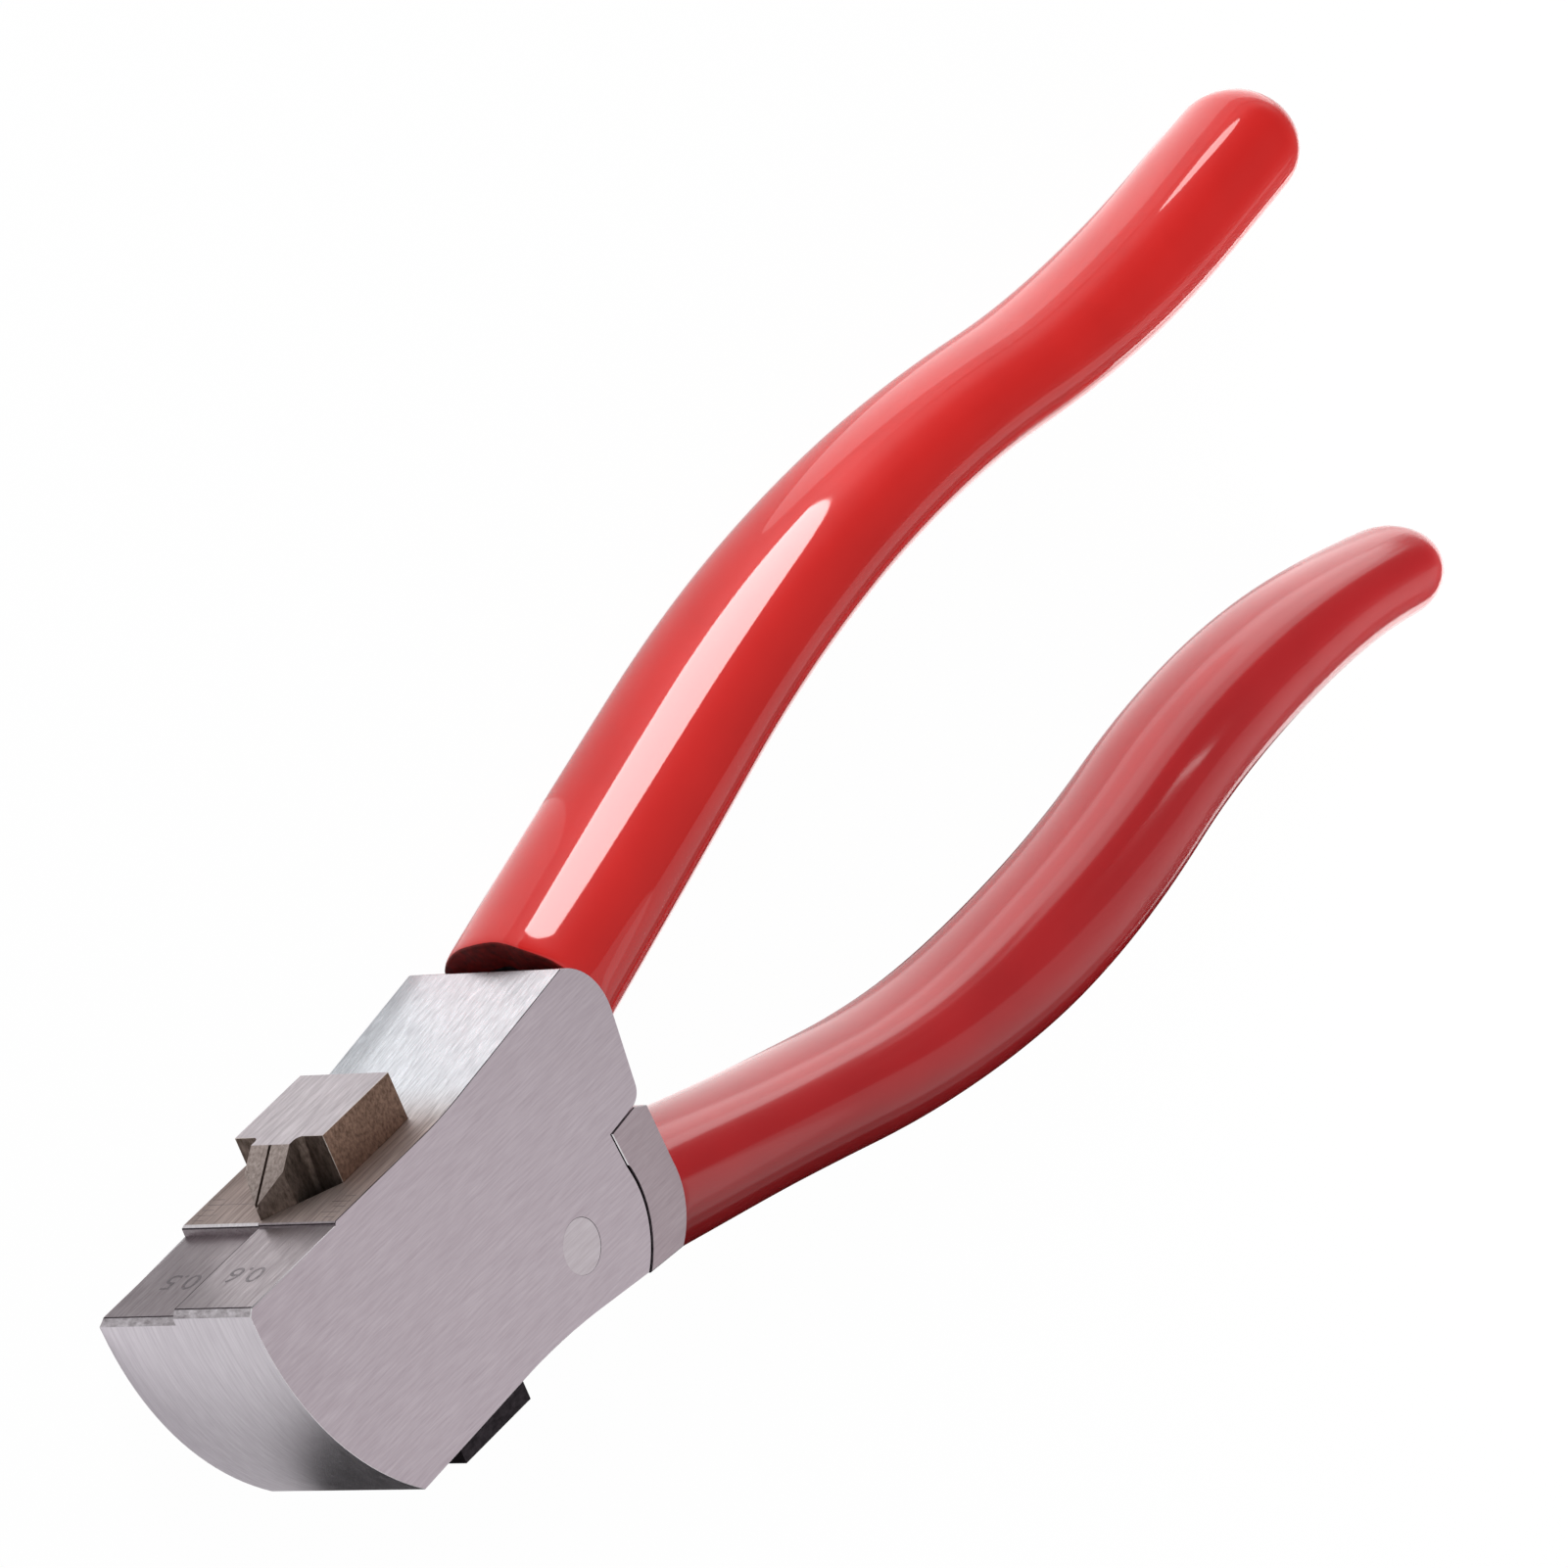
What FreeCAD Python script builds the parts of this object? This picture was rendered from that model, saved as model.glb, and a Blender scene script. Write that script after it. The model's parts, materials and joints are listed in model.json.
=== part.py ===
import FreeCAD, Part
import math
import os
import Sketcher

# Hand key cutter: plier-type punch with a ground steel head and two dipped handles.
# Frame: origin on the lever pivot axis in the plane of the head's back face,
# +X from the nose towards the handles, +Y out of the die face, +Z out of the front face.

DRIVING_SIZES = [
    # head outline, measured from the nose and from the die face
    ("head_thickness", 20.8),
    ("nose_to_pivot", 46.5),
    ("pivot_depth", 22.5),
    ("step_from_nose", 15.8),
    ("front_landing_drop", 0.4),
    ("back_landing_drop", 1.2),
    ("ramp_start", 31.5),
    ("ramp_radius", 60),
    ("ramp_angle", 6.6),
    ("rear_top_from_nose", 59.4),
    ("rear_bulge_from_nose", 64.0),
    ("rear_bulge_depth", 5.0),
    ("rear_corner_radius", 7.5),
    ("rear_foot_from_nose", 62.9),
    ("rear_foot_depth", 13.4),
    ("heel_from_nose", 61.4),
    ("heel_depth", 14.9),
    ("heel_radius", 2.0),
    ("stop_corner_from_nose", 56.6),
    ("stop_corner_depth", 15.4),
    ("seam_radius", 10.9),
    ("seam_top_angle", 16.0),
    ("seam_end_angle", 46.8),
    ("seam_gap", 0.3),
    ("stop_gap", 0.15),
    ("waist_from_nose", 38.7),
    ("waist_depth", 28.6),
    ("chin_from_nose", 12.4),
    ("chin_depth", 29.75),
    ("nose_radius", 38),
    ("pin_chamfer", 0.15),
    # cavity and cutter bar
    ("cavity_width", 12.0),
    ("running_gap", 0.05),
    ("bar_from_nose", 23.4),
    ("bar_length", 12.0),
    ("bar_rise", 5.6),
    ("bar_foot_depth", 33.8),
    ("tooth_from_nose", 16.5),
    ("tooth_half_width", 2.6),
    ("tooth_flank_angle", 40.6),
    ("tooth_tip_rise", 1.5),
    ("tooth_ramp_end", 21.9),
    ("tooth_foot_depth", 1.5),
    ("index_line_width", 0.35),
    ("index_line_depth", 0.3),
    ("die_depth", 9.0),
    ("chute_half_width", 3.0),
    ("chute_from_nose", 18.4),
    ("gib_thickness", 1.5),
    ("gib_width", 10.0),
    ("gib_top_depth", 2.0),
    ("cut_overrun", 1.0),
    # drive between lever and bar
    ("drive_pin_diameter", 3.5),
    ("drive_roller_diameter", 5.0),
    ("closed_angle", 6.75),
    ("arm_half_height", 4.8),
    ("arm_thickness", 6.0),
    ("fork_clearance", 0.6),
    ("bar_slot_width", 6.3),
    ("bar_slot_half_height", 6.0),
    ("bar_front_wall", 2.9),
    ("hub_radius", 6.8),
    ("hub_thickness", 10.8),
    ("neck_half_height", 5.8),
    ("washer_thickness", 0.5),
    ("washer_diameter", 12.6),
    ("pivot_diameter", 6.0),
    ("pivot_blind_wall", 1.5),
    ("bush_diameter", 8.0),
    ("pocket_roof", 7.0),
    ("stop_pin_diameter", 3.0),
    ("stop_pin_from_pivot", 7.8),
    # lever root
    ("root_shoulder_from_nose", 63.3),
    ("root_shoulder_depth", 16.0),
    ("root_foot_from_nose", 60.1),
    ("root_foot_depth", 31.2),
    ("root_flank_from_nose", 63.6),
    ("root_flank_depth", 23.0),
    ("root_end_radius", 8.9),
    ("bar_socket_depth", 5.2),
    ("bar_socket_overrun", 4.0),
    ("lever_pin_diameter", 3.0),
    ("lever_pin_length", 16.0),
    # fasteners
    ("screw_diameter", 3.0),
    ("screw_head_diameter", 6.0),
    ("screw_length", 15.0),
    ("sink_half_angle", 45),
    ("hex_key", 2.0),
    ("hex_depth", 1.2),
    ("dowel_diameter", 4.0),
    ("dowel_length", 14.0),
    ("tang_pin_diameter", 3.5),
    ("tang_pin_length", 16.0),
    ("tang_pin_rear_step", 5.5),
    ("tang_pin_front_step", 12.5),
    # handles
    ("handle_bar_diameter", 9.0),
    ("tang_height", 7.0),
    ("tang_length", 17.0),
    ("tang_pocket_overrun", 3.0),
    ("bar_root_overlap", 0.3),
    ("fixed_mouth_from_nose", 64.15),
    ("fixed_mouth_depth", 2.45),
    ("fixed_slope", 14.8),
    ("fixed_straight", 37.5),
    ("fixed_first_radius", 172),
    ("fixed_first_turn", -22.3),
    ("fixed_second_radius", 169),
    ("fixed_second_turn", 13.2),
    ("fixed_grip_length", 165.5),
    ("lever_mouth_from_nose", 63.35),
    ("lever_mouth_depth", 27.55),
    ("lever_slope", -14.4),
    ("lever_straight", 39.4),
    ("lever_first_radius", 140),
    ("lever_first_turn", 25.0),
    ("lever_second_radius", 125),
    ("lever_second_turn", -28.5),
    ("lever_grip_length", 161.0),
    ("bar_end_cover", 12.0),
    ("grip_end_length", 5.5),
]

# Half heights and half thicknesses of the grips at even steps from the mouth to the end.
FIXED_GRIP_HALF_HEIGHTS = [8.5, 8.3, 7.75, 6.95, 6.4, 6.6, 5.9]
FIXED_GRIP_HALF_THICKNESSES = [9.4, 9.1, 8.8, 8.5, 8.2, 7.9, 6.6]
LEVER_GRIP_HALF_HEIGHTS = [7.4, 6.75, 7.0, 7.75, 7.4, 6.3, 4.4]
LEVER_GRIP_HALF_THICKNESSES = [9.1, 8.9, 8.7, 8.5, 8.2, 7.7, 5.6]
# Steps along the rounded end of a grip, as shares of its length.
ROUND_END_STEPS = [0.0, 0.35, 0.65, 0.86, 0.97]
# Screws and dowels, from the nose and below the die face.
SCREWS_FROM_NOSE = [7.5, 13.2, 41.0, 59.0]
SCREW_DEPTHS = [9.0, 24.2, 5.4, 11.2]
DOWELS_FROM_NOSE = [8.6, 42.5]
DOWEL_DEPTHS = [17.5, 11.6]

# How a sketch numbers the ends and the centre of a line or an arc, and its own origin and axes.
START, END, CENTRE = 1, 2, 3
ORIGIN, ACROSS_AXIS, UP_AXIS = -1, -1, -2
# The side to which an arc bulges, seen along the way it runs.
LEFT, RIGHT = 1, -1
# Lengths and volumes below these count as nothing.
NO_LENGTH = 1e-6
NO_VOLUME = 1e-4

document = FreeCAD.newDocument("hand_key_cutter")
sheet = document.addObject("Spreadsheet::Sheet", "Sizes")


class Size:
    """A number together with the formula that binds it to the sheet."""

    def __init__(self, value, text=None):
        self.value = float(value)
        self.text = text if text is not None else "%.6g" % value

    def _join(self, other, sign, value):
        other = as_size(other)
        return Size(value, "(%s %s %s)" % (self.text, sign, other.text))

    def __add__(self, other):
        return self._join(other, "+", self.value + as_size(other).value)

    def __radd__(self, other):
        return as_size(other) + self

    def __sub__(self, other):
        return self._join(other, "-", self.value - as_size(other).value)

    def __rsub__(self, other):
        return as_size(other) - self

    def __mul__(self, other):
        return self._join(other, "*", self.value * as_size(other).value)

    def __rmul__(self, other):
        return as_size(other) * self

    def __truediv__(self, other):
        return self._join(other, "/", self.value / as_size(other).value)

    def __neg__(self):
        return Size(-self.value, "(-1 * %s)" % self.text)


def as_size(number):
    return number if isinstance(number, Size) else Size(number)


def sine(angle):
    return Size(math.sin(math.radians(angle.value)), "sin(%s)" % angle.text)


def cosine(angle):
    return Size(math.cos(math.radians(angle.value)), "cos(%s)" % angle.text)


def tangent(angle):
    return Size(math.tan(math.radians(angle.value)), "tan(%s)" % angle.text)


def store(name, value):
    """Put one driving number on the sheet and return it as a Size."""
    store.row += 1
    sheet.set("A%d" % store.row, name)
    sheet.set("B%d" % store.row, "%.6g" % value)
    sheet.setAlias("B%d" % store.row, name)
    return Size(value, "Sizes." + name)


store.row = 0
SIZE = {name: store(name, value) for name, value in DRIVING_SIZES}


def store_list(prefix, values):
    return [store("%s_%s" % (prefix, "abcdefghij"[index]), value) for index, value in enumerate(values)]


FIXED_HEIGHTS = store_list("fixed_half_height", FIXED_GRIP_HALF_HEIGHTS)
FIXED_THICKNESSES = store_list("fixed_half_thickness", FIXED_GRIP_HALF_THICKNESSES)
LEVER_HEIGHTS = store_list("lever_half_height", LEVER_GRIP_HALF_HEIGHTS)
LEVER_THICKNESSES = store_list("lever_half_thickness", LEVER_GRIP_HALF_THICKNESSES)
SCREW_PLACES = list(zip(store_list("screw_from_nose", SCREWS_FROM_NOSE),
                        store_list("screw_depth", SCREW_DEPTHS)))
DOWEL_PLACES = list(zip(store_list("dowel_from_nose", DOWELS_FROM_NOSE),
                        store_list("dowel_depth", DOWEL_DEPTHS)))
document.recompute()

THICKNESS = SIZE["head_thickness"]
MIDDLE = THICKNESS / 2
HALF_CAVITY = SIZE["cavity_width"] / 2
GAP = SIZE["running_gap"]
ZERO = Size(0)


def head_point(from_nose, height):
    """A point given from the nose and above the die face, in the pivot frame."""
    return as_size(from_nose) - SIZE["nose_to_pivot"], SIZE["pivot_depth"] + height


def polar(radius, angle):
    return radius * cosine(angle), radius * sine(angle)


# Drawing helpers

def new_body(label):
    body = document.addObject("PartDesign::Body", label)
    body.Label = label
    return body


def origin_plane(body, role):
    for feature in body.Origin.OriginFeatures:
        if feature.Role == role:
            return feature
    raise ValueError(role)


def bind(target, path, size):
    target.setExpression(path, size.text)


def new_sketch(body, name, height=ZERO, role="XY_Plane"):
    sketch = body.newObject("Sketcher::SketchObject", name)
    sketch.AttachmentSupport = [(origin_plane(body, role), "")]
    sketch.MapMode = "FlatFace"
    sketch.AttachmentOffset = FreeCAD.Placement(FreeCAD.Vector(0, 0, height.value), FreeCAD.Rotation())
    bind(sketch, "AttachmentOffset.Base.z", height)
    return sketch


def fix_distance(sketch, kind, geometry, position, size):
    """Hold one coordinate of a point, measured from the sketch origin."""
    axis = {"DistanceX": UP_AXIS, "DistanceY": ACROSS_AXIS}[kind]
    if abs(size.value) < NO_LENGTH:
        sketch.addConstraint(Sketcher.Constraint("PointOnObject", geometry, position, axis))
        return
    if size.value > 0:
        row = sketch.addConstraint(Sketcher.Constraint(kind, ORIGIN, START, geometry, position, size.value))
        bind(sketch, "Constraints[%d]" % row, size)
    else:
        row = sketch.addConstraint(Sketcher.Constraint(kind, geometry, position, ORIGIN, START, -size.value))
        bind(sketch, "Constraints[%d]" % row, -size)


def fix_point(sketch, geometry, position, point):
    fix_distance(sketch, "DistanceX", geometry, position, point[0])
    fix_distance(sketch, "DistanceY", geometry, position, point[1])


def flat_vector(point):
    return FreeCAD.Vector(point[0].value, point[1].value, 0)


def arc_between(start, end, radius, bulge):
    """Arc from start to end that bulges to one side of the way it runs."""
    first = flat_vector(start)
    last = flat_vector(end)
    chord = last - first
    half = chord.Length / 2
    rise = radius.value - math.sqrt(radius.value ** 2 - half ** 2)
    left = FreeCAD.Vector(-chord.y, chord.x, 0).normalize()
    crown = (first + last) / 2 + left * (bulge * rise)
    return Part.Arc(first, crown, last)


def add_side(sketch, start, end, arc=None):
    """A straight side or an arc (radius, bulge); returns its row and the numbers of its two ends."""
    if arc is None:
        row = sketch.addGeometry(Part.LineSegment(flat_vector(start), flat_vector(end)), False)
        return row, START, END
    radius, bulge = arc
    row = sketch.addGeometry(arc_between(start, end, radius, bulge), False)
    turn = sketch.addConstraint(Sketcher.Constraint("Radius", row, radius.value))
    bind(sketch, "Constraints[%d]" % turn, radius)
    flipped = sketch.getPoint(row, START).distanceToPoint(flat_vector(start)) > NO_LENGTH
    return (row, END, START) if flipped else (row, START, END)


def join_sides(sketch, first, second):
    sketch.addConstraint(Sketcher.Constraint("Coincident", first[0], first[2], second[0], second[1]))


def draw_outline(sketch, points, arcs=None):
    """Closed outline through points; arcs maps the index of a side to (radius, bulge)."""
    arcs = arcs or {}
    following = points[1:] + points[:1]
    sides = []
    for index, (start, end) in enumerate(zip(points, following)):
        sides.append(add_side(sketch, start, end, arcs.get(index)))
    for first, second in zip(sides, sides[1:] + sides[:1]):
        join_sides(sketch, first, second)
    for side, point in zip(sides, points):
        fix_point(sketch, side[0], side[1], point)


def draw_circle(sketch, centre, diameter):
    upward = FreeCAD.Vector(0, 0, 1)
    row = sketch.addGeometry(Part.Circle(flat_vector(centre), upward, diameter.value / 2), False)
    turn = sketch.addConstraint(Sketcher.Constraint("Diameter", row, diameter.value))
    bind(sketch, "Constraints[%d]" % turn, diameter)
    if flat_vector(centre).Length < NO_LENGTH:
        sketch.addConstraint(Sketcher.Constraint("Coincident", row, CENTRE, ORIGIN, START))
    else:
        fix_point(sketch, row, CENTRE, centre)


def draw_hexagon(sketch, centre, across_flats):
    corner = across_flats / Size(math.sqrt(3), "sqrt(3)")
    points = []
    for side in range(6):
        reach = polar(corner, Size(360 / 6 * side))
        points.append((centre[0] + reach[0], centre[1] + reach[1]))
    draw_outline(sketch, points)


def draw_ellipse(sketch, half_height, half_thickness):
    """Ellipse on the sketch origin: height along its X axis, thickness along its Y axis."""
    tall = FreeCAD.Vector(half_height.value, 0, 0)
    thick = FreeCAD.Vector(0, half_thickness.value, 0)
    centre = FreeCAD.Vector(0, 0, 0)
    if half_thickness.value > half_height.value:
        row = sketch.addGeometry(Part.Ellipse(thick, tall, centre), False)
        long_size, short_size, direction = half_thickness, half_height, "Vertical"
    else:
        row = sketch.addGeometry(Part.Ellipse(tall, thick, centre), False)
        long_size, short_size, direction = half_height, half_thickness, "Horizontal"
    sketch.exposeInternalGeometry(row)
    sketch.addConstraint(Sketcher.Constraint("Coincident", row, CENTRE, ORIGIN, START))
    sketch.addConstraint(Sketcher.Constraint(direction, row + 1))
    for line, size in ((row + 1, long_size * 2), (row + 2, short_size * 2)):
        length = sketch.addConstraint(Sketcher.Constraint("Distance", line, size.value))
        bind(sketch, "Constraints[%d]" % length, size)


def pad(body, name, sketch, length, taper=None):
    feature = body.newObject("PartDesign::Pad", name)
    feature.Profile = sketch
    feature.Length = length.value
    bind(feature, "Length", length)
    if taper is not None:
        feature.TaperAngle = taper.value
        bind(feature, "TaperAngle", taper)
    document.recompute()
    return feature


def pocket(body, name, sketch, depth, taper=None, upward=False):
    """Cut down (or up) from the sketch; a cut that removes nothing is an error."""
    before = body.Shape.Volume
    feature = body.newObject("PartDesign::Pocket", name)
    feature.Profile = sketch
    feature.Length = depth.value
    bind(feature, "Length", depth)
    feature.Reversed = upward
    if taper is not None:
        feature.TaperAngle = taper.value
        bind(feature, "TaperAngle", taper)
    document.recompute()
    if body.Shape.Volume > before - NO_VOLUME:
        raise ValueError("no material removed by " + name)
    return feature


def outer_edges_at(shape, height):
    """Names of the edges round the outside of the flat face at one height."""
    names = []
    for face in shape.Faces:
        box = face.BoundBox
        if abs(box.ZMin - height) < NO_LENGTH and abs(box.ZMax - height) < NO_LENGTH:
            for edge in face.OuterWire.Edges:
                for index, other in enumerate(shape.Edges):
                    if other.isSame(edge):
                        names.append("Edge%d" % (index + 1))
    return names


def chamfer(body, name, base, edges, size):
    feature = body.newObject("PartDesign::Chamfer", name)
    feature.Base = (base, edges)
    feature.Size = size.value
    bind(feature, "Size", size)
    document.recompute()
    return feature


# Places that several pieces share

BAR_MIDDLE = SIZE["bar_from_nose"] + SIZE["bar_length"] / 2
ARM_LENGTH = SIZE["nose_to_pivot"] - BAR_MIDDLE
PIN_DROP = ARM_LENGTH * tangent(SIZE["closed_angle"])
DRIVE_POINT = (-ARM_LENGTH, -PIN_DROP)
PIVOT = (ZERO, ZERO)
OPEN_ANGLE = SIZE["closed_angle"]
STOP_PIN_RISE = (
    SIZE["stop_pin_from_pivot"] * tangent(OPEN_ANGLE)
    + (SIZE["arm_half_height"] + SIZE["stop_pin_diameter"] / 2 + GAP) / cosine(OPEN_ANGLE)
)
STOP_PIN_POINT = (-SIZE["stop_pin_from_pivot"], STOP_PIN_RISE)
SCREW_POINTS = [head_point(from_nose, -depth) for from_nose, depth in SCREW_PLACES]
DOWEL_POINTS = [head_point(from_nose, -depth) for from_nose, depth in DOWEL_PLACES]

FIXED_MOUTH = head_point(SIZE["fixed_mouth_from_nose"], -SIZE["fixed_mouth_depth"])
LEVER_MOUTH = head_point(SIZE["lever_mouth_from_nose"], -SIZE["lever_mouth_depth"])
FIXED_PATH = (FIXED_MOUTH, SIZE["fixed_slope"], SIZE["fixed_straight"],
              [(SIZE["fixed_first_radius"], SIZE["fixed_first_turn"]),
               (SIZE["fixed_second_radius"], SIZE["fixed_second_turn"])])
LEVER_PATH = (LEVER_MOUTH, SIZE["lever_slope"], SIZE["lever_straight"],
              [(SIZE["lever_first_radius"], SIZE["lever_first_turn"]),
               (SIZE["lever_second_radius"], SIZE["lever_second_turn"])])
OVERRUN = SIZE["cut_overrun"]
BAR_SOCKET_DEPTH = SIZE["bar_socket_depth"]


DEGREES_PER_RADIAN = Size(180 / math.pi, "(180 / pi)")


def turn_sign(turn):
    return 1 if turn.value > 0 else -1


def step_along(start, heading, distance):
    return start[0] + distance * cosine(heading), start[1] + distance * sine(heading)


def step_aside(point, heading, distance):
    """A point moved to the left of a heading."""
    return point[0] - distance * sine(heading), point[1] + distance * cosine(heading)


def along_path(path, distance):
    """Point and heading at a distance from the mouth along a handle's middle line."""
    point, heading, straight, bends = path
    if distance.value <= straight.value:
        return step_along(point, heading, distance), heading
    point = step_along(point, heading, straight)
    left = distance - straight
    degrees = DEGREES_PER_RADIAN
    for radius, turn in bends:
        sign = turn_sign(turn)
        bend_length = radius * turn / degrees * sign
        inside = left.value <= bend_length.value
        new_heading = heading + left / radius * degrees * sign if inside else heading + turn
        point = (point[0] + radius * sign * (sine(new_heading) - sine(heading)),
                 point[1] - radius * sign * (cosine(new_heading) - cosine(heading)))
        heading = new_heading
        if inside:
            return point, heading
        left = left - bend_length
    return step_along(point, heading, left), heading


# Head

def head_outline(landing_drop):
    """Side view of the head, from the top of the nose round to the chin."""
    ramp = SIZE["ramp_angle"]
    radius = SIZE["ramp_radius"]
    ramp_end = SIZE["ramp_start"] + radius * sine(ramp)
    ramp_end_rise = radius * (1 - cosine(ramp))
    rear_rise = ramp_end_rise + (SIZE["rear_top_from_nose"] - ramp_end) * tangent(ramp)
    seam = SIZE["seam_radius"]
    points = [
        head_point(0, -landing_drop),
        head_point(SIZE["step_from_nose"], -landing_drop),
        head_point(SIZE["step_from_nose"], ZERO),
        head_point(SIZE["ramp_start"], ZERO),
        head_point(ramp_end, ramp_end_rise),
        head_point(SIZE["rear_top_from_nose"], rear_rise),
        head_point(SIZE["rear_bulge_from_nose"], -SIZE["rear_bulge_depth"]),
        head_point(SIZE["rear_foot_from_nose"], -SIZE["rear_foot_depth"]),
        head_point(SIZE["heel_from_nose"], -SIZE["heel_depth"]),
        head_point(SIZE["stop_corner_from_nose"], -SIZE["stop_corner_depth"]),
        polar(seam, SIZE["seam_top_angle"]),
        polar(seam, -SIZE["seam_end_angle"]),
        head_point(SIZE["waist_from_nose"], -SIZE["waist_depth"]),
        head_point(SIZE["chin_from_nose"], -SIZE["chin_depth"]),
    ]
    arcs = {3: (radius, RIGHT), 5: (SIZE["rear_corner_radius"], LEFT), 7: (SIZE["heel_radius"], LEFT),
            10: (seam, LEFT), 13: (SIZE["nose_radius"], LEFT)}
    return points, arcs


def channel_outline():
    """Upright channel for the cutter bar, with a seat for the gib behind it."""
    front = SIZE["bar_from_nose"] - GAP
    rear = SIZE["bar_from_nose"] + SIZE["bar_length"] + GAP
    above = SIZE["bar_rise"]
    below = -SIZE["bar_foot_depth"]
    return [head_point(front, above), head_point(rear, above),
            head_point(rear, below), head_point(front, below)]


def gib_outline():
    """Wear strip set into the channel's rear wall above the lever pocket."""
    front = SIZE["bar_from_nose"] + SIZE["bar_length"] + GAP
    rear = front + SIZE["gib_thickness"]
    front_top = head_point(front, -SIZE["gib_top_depth"])
    rear_top = head_point(rear, -SIZE["gib_top_depth"])
    roof = SIZE["pocket_roof"]
    return [front_top, rear_top, (rear_top[0], roof), (front_top[0], roof)]


def lever_pocket_outline():
    """Room for the lever's arm and hub, open at the bar channel, the seam and the underside."""
    front = head_point(SIZE["bar_from_nose"] + SIZE["bar_length"], ZERO)[0]
    floor = -SIZE["seam_radius"]
    rear = SIZE["seam_radius"] + OVERRUN
    return [(front, SIZE["pocket_roof"]), (rear, SIZE["pocket_roof"]), (rear, floor), (front, floor)]


def tang_outline(reach):
    """Flat tang of the fixed handle, lying along the handle's slope."""
    slope = SIZE["fixed_slope"]
    half = SIZE["tang_height"] / 2
    root = step_along(FIXED_MOUTH, slope, -SIZE["tang_length"])
    tip = step_along(FIXED_MOUTH, slope, reach)
    return [step_aside(root, slope, half), step_aside(tip, slope, half),
            step_aside(tip, slope, -half), step_aside(root, slope, -half)]


def chute_outline():
    """Slot in front of the bar that lets the cut chips fall."""
    front = SIZE["chute_from_nose"]
    rear = SIZE["bar_from_nose"]
    return [head_point(front, -SIZE["die_depth"] / 2), head_point(rear, -SIZE["die_depth"] / 2),
            head_point(rear, -SIZE["bar_foot_depth"]), head_point(front, -SIZE["bar_foot_depth"])]


def cut_die_mouth(body, name, inner, outer):
    """V-shaped die opening ahead of the bar, cut down from the die face in one half."""
    sketch = new_sketch(body, name + "_plan", -(SIZE["pivot_depth"] + SIZE["bar_rise"]), "XZ_Plane")
    tip = SIZE["tooth_from_nose"] - GAP
    rear = head_point(SIZE["bar_from_nose"], ZERO)[0]
    reach = (SIZE["bar_from_nose"] - tip) * tangent(SIZE["tooth_flank_angle"])
    wall = MIDDLE + reach * (1 if outer.value > inner.value else -1)
    points = [(head_point(tip, ZERO)[0], inner), (rear, inner), (rear, wall)]
    draw_outline(sketch, points)
    pocket(body, name, sketch, SIZE["die_depth"] + SIZE["bar_rise"], upward=True)


def circles_sketch(body, name, height, points, diameter):
    sketch = new_sketch(body, name, height)
    for point in points:
        draw_circle(sketch, point, diameter)
    return sketch


def tang_pin_points():
    steps = (SIZE["tang_pin_rear_step"], SIZE["tang_pin_front_step"])
    return [step_along(FIXED_MOUTH, SIZE["fixed_slope"], -step) for step in steps]


def screw_head_height():
    overhang = (SIZE["screw_head_diameter"] - SIZE["screw_diameter"]) / 2
    return overhang / tangent(SIZE["sink_half_angle"])


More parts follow.
